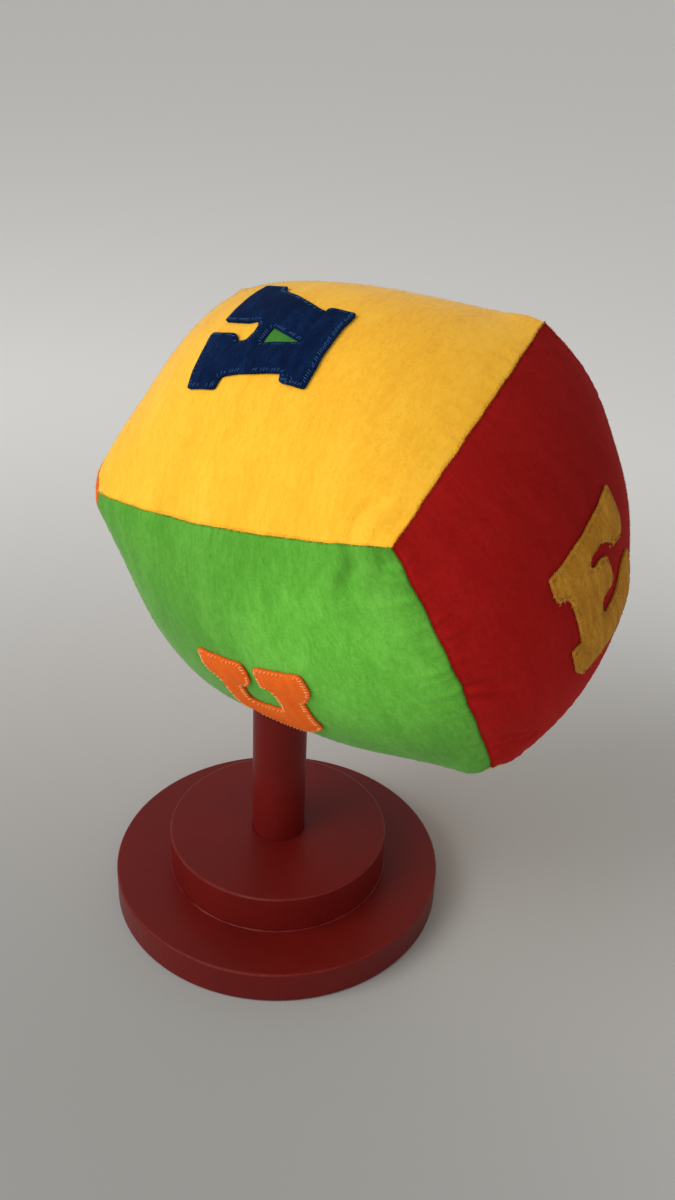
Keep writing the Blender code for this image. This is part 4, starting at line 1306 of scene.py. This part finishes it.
def lay_on_panel(made, panel, centre, turn, gap, outlines):
    """Move a flat letter's points on to the cloth, and give it its nap."""
    flat = np.empty(len(made.data.vertices) * 3)
    made.data.vertices.foreach_get("co", flat)
    flat = flat.reshape(-1, 3)
    s, t = letter_to_panel(panel, flat[:, 0], flat[:, 1], centre, turn)
    lift = gap + puff(flat, outlines)
    points = cloth_at(panel, s, t) + cloth_slopes(panel, s, t, LETTER_SLOPE_REACH)[2] * lift[:, None]
    made.data.vertices.foreach_set("co", points.reshape(-1))
    set_nap(made, s, t, NAP_ALONG_S[panel])
    made.data.update()
    outwards = Vector(points.mean(axis=0) - DIE_CENTRE)
    if made.data.polygons[0].normal.dot(outwards) < 0.0:
        made.data.flip_normals()


def thicken(made, thickness, edge):
    """Give a laid letter its thickness and a soft edge."""
    modify(made, "SOLIDIFY", thickness=thickness, offset=1.0)
    corner = math.radians(50.0)
    modify(made, "BEVEL", width=edge, segments=2, limit_method="ANGLE", angle_limit=corner)
    bpy.ops.object.shade_smooth_by_angle(angle=corner)


letter_cloths = {kind[-1]: plush_material(kind[-1], 2.2, 0.10, 0.35) for kind in LETTERS.values()}
for name, (outlines, panel, centre, turn, slot, cloth) in LETTERS.items():
    gap, thickness, edge = PATCH_BUILD if name == "letter_a_counter" else LETTER_BUILD
    made = flat_letter(f"{name}_cloth", outlines())
    lay_on_panel(made, panel, centre, turn, gap, outlines())
    thicken(made, thickness, edge)
    dress(made, letter_cloths[cloth], "die", name)

# %% [markdown]
# Each letter is sewn down round its edge with short slanting stitches. A stitch is a thin rod of
# thread that comes up near the edge and goes down further in. Threads differ from letter to
# letter: blue, thin and half hidden on the A, pale and plump on the U, brown and almost square to
# the edge on the E. Some stitches have sunk out of sight, so a share is left out. A thread's row
# gives its colour, the step between stitches, where a stitch starts and ends in from the edge, its
# slant, its radius and the share that shows.

# %% Stitches
THREADS = {
    "letter_a": ((0.020, 0.115, 0.310), 0.00135, (0.0006, 0.0021), 0.0007, 0.00012, 0.70),
    "letter_u": ((0.950, 0.340, 0.110), 0.00210, (0.0004, 0.0017), 0.0006, 0.00038, 0.85),
    "letter_e": ((0.230, 0.095, 0.010), 0.00170, (0.0004, 0.0024), 0.0002, 0.00016, 0.75),
    "letter_i": ((0.260, 0.600, 0.150), 0.00200, (0.0005, 0.0020), 0.0008, 0.00020, 0.85),
    "letter_o": ((0.980, 0.680, 0.150), 0.00200, (0.0005, 0.0020), 0.0008, 0.00020, 0.85),
}


def walk_outline(outline, step):
    """Even steps along a closed outline: places, and the way inwards at each."""
    points = np.array(outline + outline[:1])
    legs = np.linalg.norm(np.diff(points, axis=0), axis=1)
    total = np.concatenate([[0.0], np.cumsum(legs)])
    count = max(8, int(round(total[-1] / step / 2)) * 2)
    places = np.linspace(0.0, total[-1], count, endpoint=False)
    walked = np.stack([np.interp(places, total, points[:, axis]) for axis in (0, 1)], axis=1)
    ahead = np.roll(walked, -1, axis=0) - np.roll(walked, 1, axis=0)
    ahead /= np.maximum(np.linalg.norm(ahead, axis=1, keepdims=True), 1e-9)
    area = np.sum(points[:-1, 0] * points[1:, 1] - points[1:, 0] * points[:-1, 1])
    inwards = np.stack([-ahead[:, 1], ahead[:, 0]], axis=1) * (1.0 if area > 0 else -1.0)
    return walked, inwards


def thread_material(name, colour):
    """Twisted sewing thread with a silky shine."""
    made, tree, shader = new_material(name)
    twist = noise_of(tree, add_node(tree, "TexCoord", "Object"), Scale=2600.0, Detail=2.0)
    dark = [0.55 * value for value in colour]
    light = [min(1.0, 1.15 * value) for value in colour]
    set_inputs(
        tree, shader, Base_Color=two_tones(tree, twist, dark, light, 0.3, 0.62),
        Normal=bumped(tree, twist, 0.4, 0.0001), Roughness=0.55,
    )
    return made


def letter_surface(panel, places, centre, turn, height):
    """Points at a height above the cloth for places in a letter's own axes, with the normals there."""
    s, t = letter_to_panel(panel, places[:, 0], places[:, 1], centre, turn)
    normal = cloth_slopes(panel, s, t, LETTER_SLOPE_REACH)[2]
    return cloth_at(panel, s, t) + normal * height, normal, s, t


def sew(name, outlines, panel, centre, turn, thread, seed):
    """The stitches round every outline of a letter, as one mesh."""
    _, step, (near_edge, far_in), slant, radius, share = thread
    chance = np.random.default_rng(seed)
    top = LETTER_GAP + LETTER_THICKNESS
    stitches = []
    for number, outline in enumerate(outlines):
        walked, inwards = walk_outline(outline, step)
        inwards = -inwards if number else inwards
        shown = chance.uniform(size=len(walked)) < share
        walked, inwards = walked[shown], inwards[shown]
        leans = slant * chance.uniform(0.3, 0.8, (len(walked), 1))
        lean = np.stack([inwards[:, 1], -inwards[:, 0]], axis=1) * leans
        starts = walked + inwards * near_edge - lean
        ends = walked + inwards * far_in * chance.uniform(0.75, 1.1, (len(walked), 1)) + lean
        rods = []
        for part, proud in ((0.0, -1.0), (0.2, 0.6), (0.8, 0.6), (1.0, -1.0)):
            height = top + proud * radius + puffed(near_edge + (far_in - near_edge) * part)
            rods.append(letter_surface(panel, starts + (ends - starts) * part, centre, turn, height)[0])
        stitches.extend(np.stack(rods, axis=1))
    made = mesh_from_curve(
        name, stitches, False, dimensions="3D", bevel_depth=radius, bevel_resolution=0, use_fill_caps=True
    )
    bpy.ops.object.shade_smooth()
    return made


for seed, (name, (outlines, panel, centre, turn, slot, _)) in enumerate(LETTERS.items()):
    if name in THREADS:
        thread = THREADS[name]
        made = sew(name.replace("letter", "stitches"), outlines(), panel, centre, turn, thread, 70 + seed)
        dress(made, thread_material(f"{name} thread", thread[0]), "die")

# %% [markdown]
# A cut edge of plush sheds fibres. A fringe of them stands round every letter, longest on the
# coarse felt of the E, and a few long loose threads lie where the scissors slipped. A fringe is
# given by its longest fibre and its radius, loose threads by their colour, their places on the
# letter, their length and their radius.

# %% Fringes and loose threads
FRINGE_STEP = 0.00030
FRINGE_INSET = 0.0003
FRINGE_SHORTEST = 0.0003
FRINGE_LEVELS = (0.15, 0.95)
FRINGE_STRAY = 0.6
FRINGE_RISE = (-0.0003, 0.0008)
FRINGES = {
    "letter_a": (0.0010, 0.00010), "letter_u": (0.0008, 0.00010), "letter_e": (0.0019, 0.00020),
    "letter_i": (0.0008, 0.00010), "letter_o": (0.0008, 0.00010),
}
LOOSE_THREADS = {
    "letter_a": ((0.035, 0.140, 0.300), ((0.014, -0.024), (0.028, 0.022)), 0.0036, 0.00010),
    "letter_e": (
        (0.880, 0.500, 0.110),
        ((-0.030, 0.036), (-0.014, 0.036), (-0.034, 0.026), (0.014, 0.016)), 0.0022, 0.00020,
    ),
}
LOOSE_COUNT = 8
LOOSE_SPREAD = 0.0022
LOOSE_RISE = (0.05, 0.35)
LOOSE_LENGTHS = (0.4, 1.0)
AHEAD = 0.001


def fringe(name, outlines, panel, centre, turn, longest, radius, seed):
    """Fibres that stand out from a letter's cut edge."""
    chance = np.random.default_rng(seed)
    sides = [walk_outline(outline, FRINGE_STEP) for outline in outlines]
    walked = np.concatenate([side[0] for side in sides])
    outwards = np.concatenate([side[1] if number else -side[1] for number, side in enumerate(sides)])
    count = len(walked)
    height = LETTER_GAP + LETTER_THICKNESS * chance.uniform(*FRINGE_LEVELS, (count, 1))
    root, normal, s, t = letter_surface(panel, walked - outwards * FRINGE_INSET, centre, turn, height)
    stray = chance.normal(0.0, FRINGE_STRAY, (count, 1))
    aside = np.stack([outwards[:, 1], -outwards[:, 0]], axis=1) * stray
    tip = letter_surface(panel, walked + AHEAD * (outwards + aside), centre, turn, height)[0]
    way = unit(tip - root + normal * chance.uniform(*FRINGE_RISE, (count, 1)))
    length = chance.uniform(FRINGE_SHORTEST, longest, (count, 1))
    made = spikes(name, root, way, normal, length, radius)
    set_nap(made, np.repeat(s, 4), np.repeat(t, 4), NAP_ALONG_S[panel])
    return made


def loose_threads(name, places, panel, centre, turn, length, radius, seed):
    """Long threads that lie about on a letter."""
    chance = np.random.default_rng(seed)
    spots = np.repeat(np.array(places), LOOSE_COUNT, axis=0)
    count = len(spots)
    spots = spots + chance.normal(0.0, LOOSE_SPREAD, spots.shape)
    turns = chance.uniform(0.0, math.tau, count)
    top = LETTER_GAP + LETTER_THICKNESS + 0.5 * PUFF_HEIGHT
    root, normal, _, _ = letter_surface(panel, spots, centre, turn, top)
    tips = spots + AHEAD * np.stack([np.cos(turns), np.sin(turns)], axis=1)
    way = unit(letter_surface(panel, tips, centre, turn, top)[0] - root)
    way = unit(way + normal * chance.uniform(*LOOSE_RISE, (count, 1)))
    lengths = length * chance.uniform(*LOOSE_LENGTHS, (count, 1))
    return spikes(name, root, way, normal, lengths, radius)


# The frays are paler than the felt: partly their own paler fibre, partly a painted highlight where they
# catch the light.
frayed_felt_and_highlight = thread_material("frayed felt and highlight", (0.820, 0.440, 0.080))
for seed, (name, (longest, thick)) in enumerate(FRINGES.items()):
    outlines, panel, centre, turn, slot, cloth = LETTERS[name]
    where = (panel, centre, turn)
    made = fringe(name.replace("letter", "fringe"), outlines(), *where, longest, thick, 90 + seed)
    dress(made, frayed_felt_and_highlight if slot == "ochre_felt" else letter_cloths[cloth], "die")
    if name in LOOSE_THREADS:
        colour, places, length, radius = LOOSE_THREADS[name]
        made = loose_threads(name.replace("letter", "loose"), places, *where, length, radius, 95 + seed)
        dress(made, thread_material(f"{name} loose thread", colour), "die")

# %% [markdown]
# Inside are three things that show only when the die is lifted off or looked at from below: the
# cotton pocket that keeps the filling off the post, the corded edge of its opening, and the
# filling itself. They are made as simply as they can be while still being what they are.

# %% Pocket
POCKET_RADIUS = 0.0181
POCKET_WALL = 0.0009
POCKET_RINGS = 16
POCKET_CREASE = 0.014
HEM_WIDTH = 0.0006
WEAVE_SCALE = 420.0

cotton, tree, shader = new_material("undyed cotton")
place = add_node(tree, "TexCoord", "Object")
across, along = [
    add_node(
        tree, "TexWave", "Fac", {"bands_direction": way}, Vector=place, Scale=WEAVE_SCALE, Distortion=1.5
    )
    for way in ("Z", "X")
]
weave = maths(tree, "MULTIPLY", across, along)
set_inputs(
    tree, shader, Base_Color=two_tones(tree, weave, (0.40, 0.37, 0.32), (0.62, 0.59, 0.52)),
    Normal=bumped(tree, weave, 0.5, 0.0002), Roughness=0.92,
)


def pocket_shape(name, low, high, ends):
    """A cylinder as wide as the pocket, between two heights."""
    bpy.ops.mesh.primitive_cylinder_add(
        vertices=64, radius=POCKET_RADIUS, depth=high - low, end_fill_type=ends,
        location=(0.0, 0.0, (low + high) / 2),
    )
    return placed_shape(name)


pocket_low, pocket_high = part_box("pocket_tube")
pocket = pocket_shape("pocket_tube_cotton", pocket_low.z, pocket_high.z, "NOTHING")
bpy.ops.object.mode_set(mode="EDIT")
for index in range(1, POCKET_RINGS):
    height = pocket_low.z + (pocket_high.z - pocket_low.z) * index / POCKET_RINGS
    bpy.ops.mesh.select_all(action="SELECT")
    bpy.ops.mesh.bisect(plane_co=(0.0, 0.0, height), plane_no=(0.0, 0.0, 1.0))
bpy.ops.object.mode_set(mode="OBJECT")
for vert in pocket.data.vertices:
    angle = math.atan2(vert.co.y, vert.co.x)
    crease = noise.noise(Vector((math.cos(angle) * 2.5, math.sin(angle) * 2.5, vert.co.z * 45.0)))
    vert.co.x *= 1.0 - POCKET_CREASE * abs(crease)
    vert.co.y *= 1.0 - POCKET_CREASE * abs(crease)
modify(pocket, "SOLIDIFY", thickness=POCKET_WALL, offset=-1.0)
bpy.ops.object.shade_smooth_by_angle(angle=math.radians(50.0))
dress(pocket, cotton, "pocket", "pocket_tube")

end_low, end_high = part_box("pocket_end")
pocket_end = pocket_shape("pocket_end_cotton", end_low.z, end_high.z, "NGON")
modify(pocket_end, "BEVEL", width=HEM_WIDTH, segments=3, limit_method="ANGLE")
bpy.ops.object.shade_smooth_by_angle(angle=math.radians(40.0))
dress(pocket_end, cotton, "pocket", "pocket_end")

# %% [markdown]
# The opening's edge is a cord covered in navy cloth. It follows the cloth round the post: for each
# angle the underside is found by looking straight up from the floor, and the cord's middle is laid
# just under it.

# %% Opening cord
CORD_RADIUS = 0.0021
CORD_RING = BORE_RADIUS + CORD_RADIUS + 0.0003
CORD_LOOK = CORD_RING * 1.1
CORD_DROP = 0.0008
CORD_POINTS = 72

under_trees = []
for panel in ("green", "under", "red", "orange"):
    mesh = panels[panel].data
    corners, sides = [vert.co for vert in mesh.vertices], [face.vertices for face in mesh.polygons]
    under_trees.append(BVHTree.FromPolygons(corners, sides))


def underside(x, y):
    """The height of the die's underside above a place on the floor."""
    hits = [tree.ray_cast(Vector((x, y, 0.0)), Vector((0.0, 0.0, 1.0)))[0] for tree in under_trees]
    return min(hit.z for hit in hits if hit is not None)


angles = np.linspace(0.0, math.tau, CORD_POINTS, endpoint=False)
looks = [underside(CORD_LOOK * math.cos(angle), CORD_LOOK * math.sin(angle)) for angle in angles]
heights = np.array(looks) - CORD_DROP
for _ in range(3):
    heights = (np.roll(heights, 1) + 2.0 * heights + np.roll(heights, -1)) / 4.0
ring = np.stack([CORD_RING * np.cos(angles), CORD_RING * np.sin(angles), heights], axis=1)
cord = mesh_from_curve(
    "opening_cord", [ring], True, dimensions="3D", bevel_depth=CORD_RADIUS, bevel_resolution=3
)
bpy.ops.object.shade_smooth()
navy_cord = thread_material("navy cord cloth", (0.012, 0.040, 0.170))
dress(cord, navy_cord, "die", "opening_piping")

# %% [markdown]
# The filling is loose polyester fibre that takes the shape of the cloth. So it is the settled skin
# once more, on a coarser grid and a few millimetres further in, with room cut out for the pocket.

# %% Filling
FILLING_INSET = 0.0056
FILLING_EVERY = 2

filling_points, filling_faces, count = [], [], 0
for panel in PANELS:
    grid = settled(skin_grids[panel][::FILLING_EVERY, ::FILLING_EVERY])
    grid = grid - unit(grid - DIE_CENTRE) * FILLING_INSET
    size = grid.shape[0]
    index = np.arange(size * size).reshape(size, size) + count
    filling_points.append(grid.reshape(-1, 3))
    filling_faces.append(outward_faces(panel, index))
    count += size * size
filling = object_from("filling_fibre", np.concatenate(filling_points), np.concatenate(filling_faces))
bpy.ops.object.mode_set(mode="EDIT")
bpy.ops.mesh.select_all(action="SELECT")
bpy.ops.mesh.remove_doubles(threshold=0.0001)
bpy.ops.mesh.normals_make_consistent(inside=False)
bpy.ops.object.mode_set(mode="OBJECT")
cut_bore(filling)
bpy.ops.object.shade_smooth_by_angle(angle=math.radians(60.0))
fibre, tree, shader = new_material("loose fibre")
place = add_node(tree, "TexCoord", "Object")
wisps = noise_of(tree, place, Scale=300.0, Detail=6.0, Roughness=0.75)
set_inputs(
    tree, shader, Base_Color=two_tones(tree, wisps, (0.62, 0.62, 0.60), (0.88, 0.88, 0.86)),
    Normal=bumped(tree, wisps, 0.8, 0.001), Roughness=1.0,
)
dress(filling, fibre, "die", "filling")

# %% [markdown]
# Last, the view layer is brought up to date, so that every piece stands where it was put. Cloth
# may stand a little proud of its solids, but never by more than a few millimetres.

# %% Finish
bpy.context.view_layer.update()
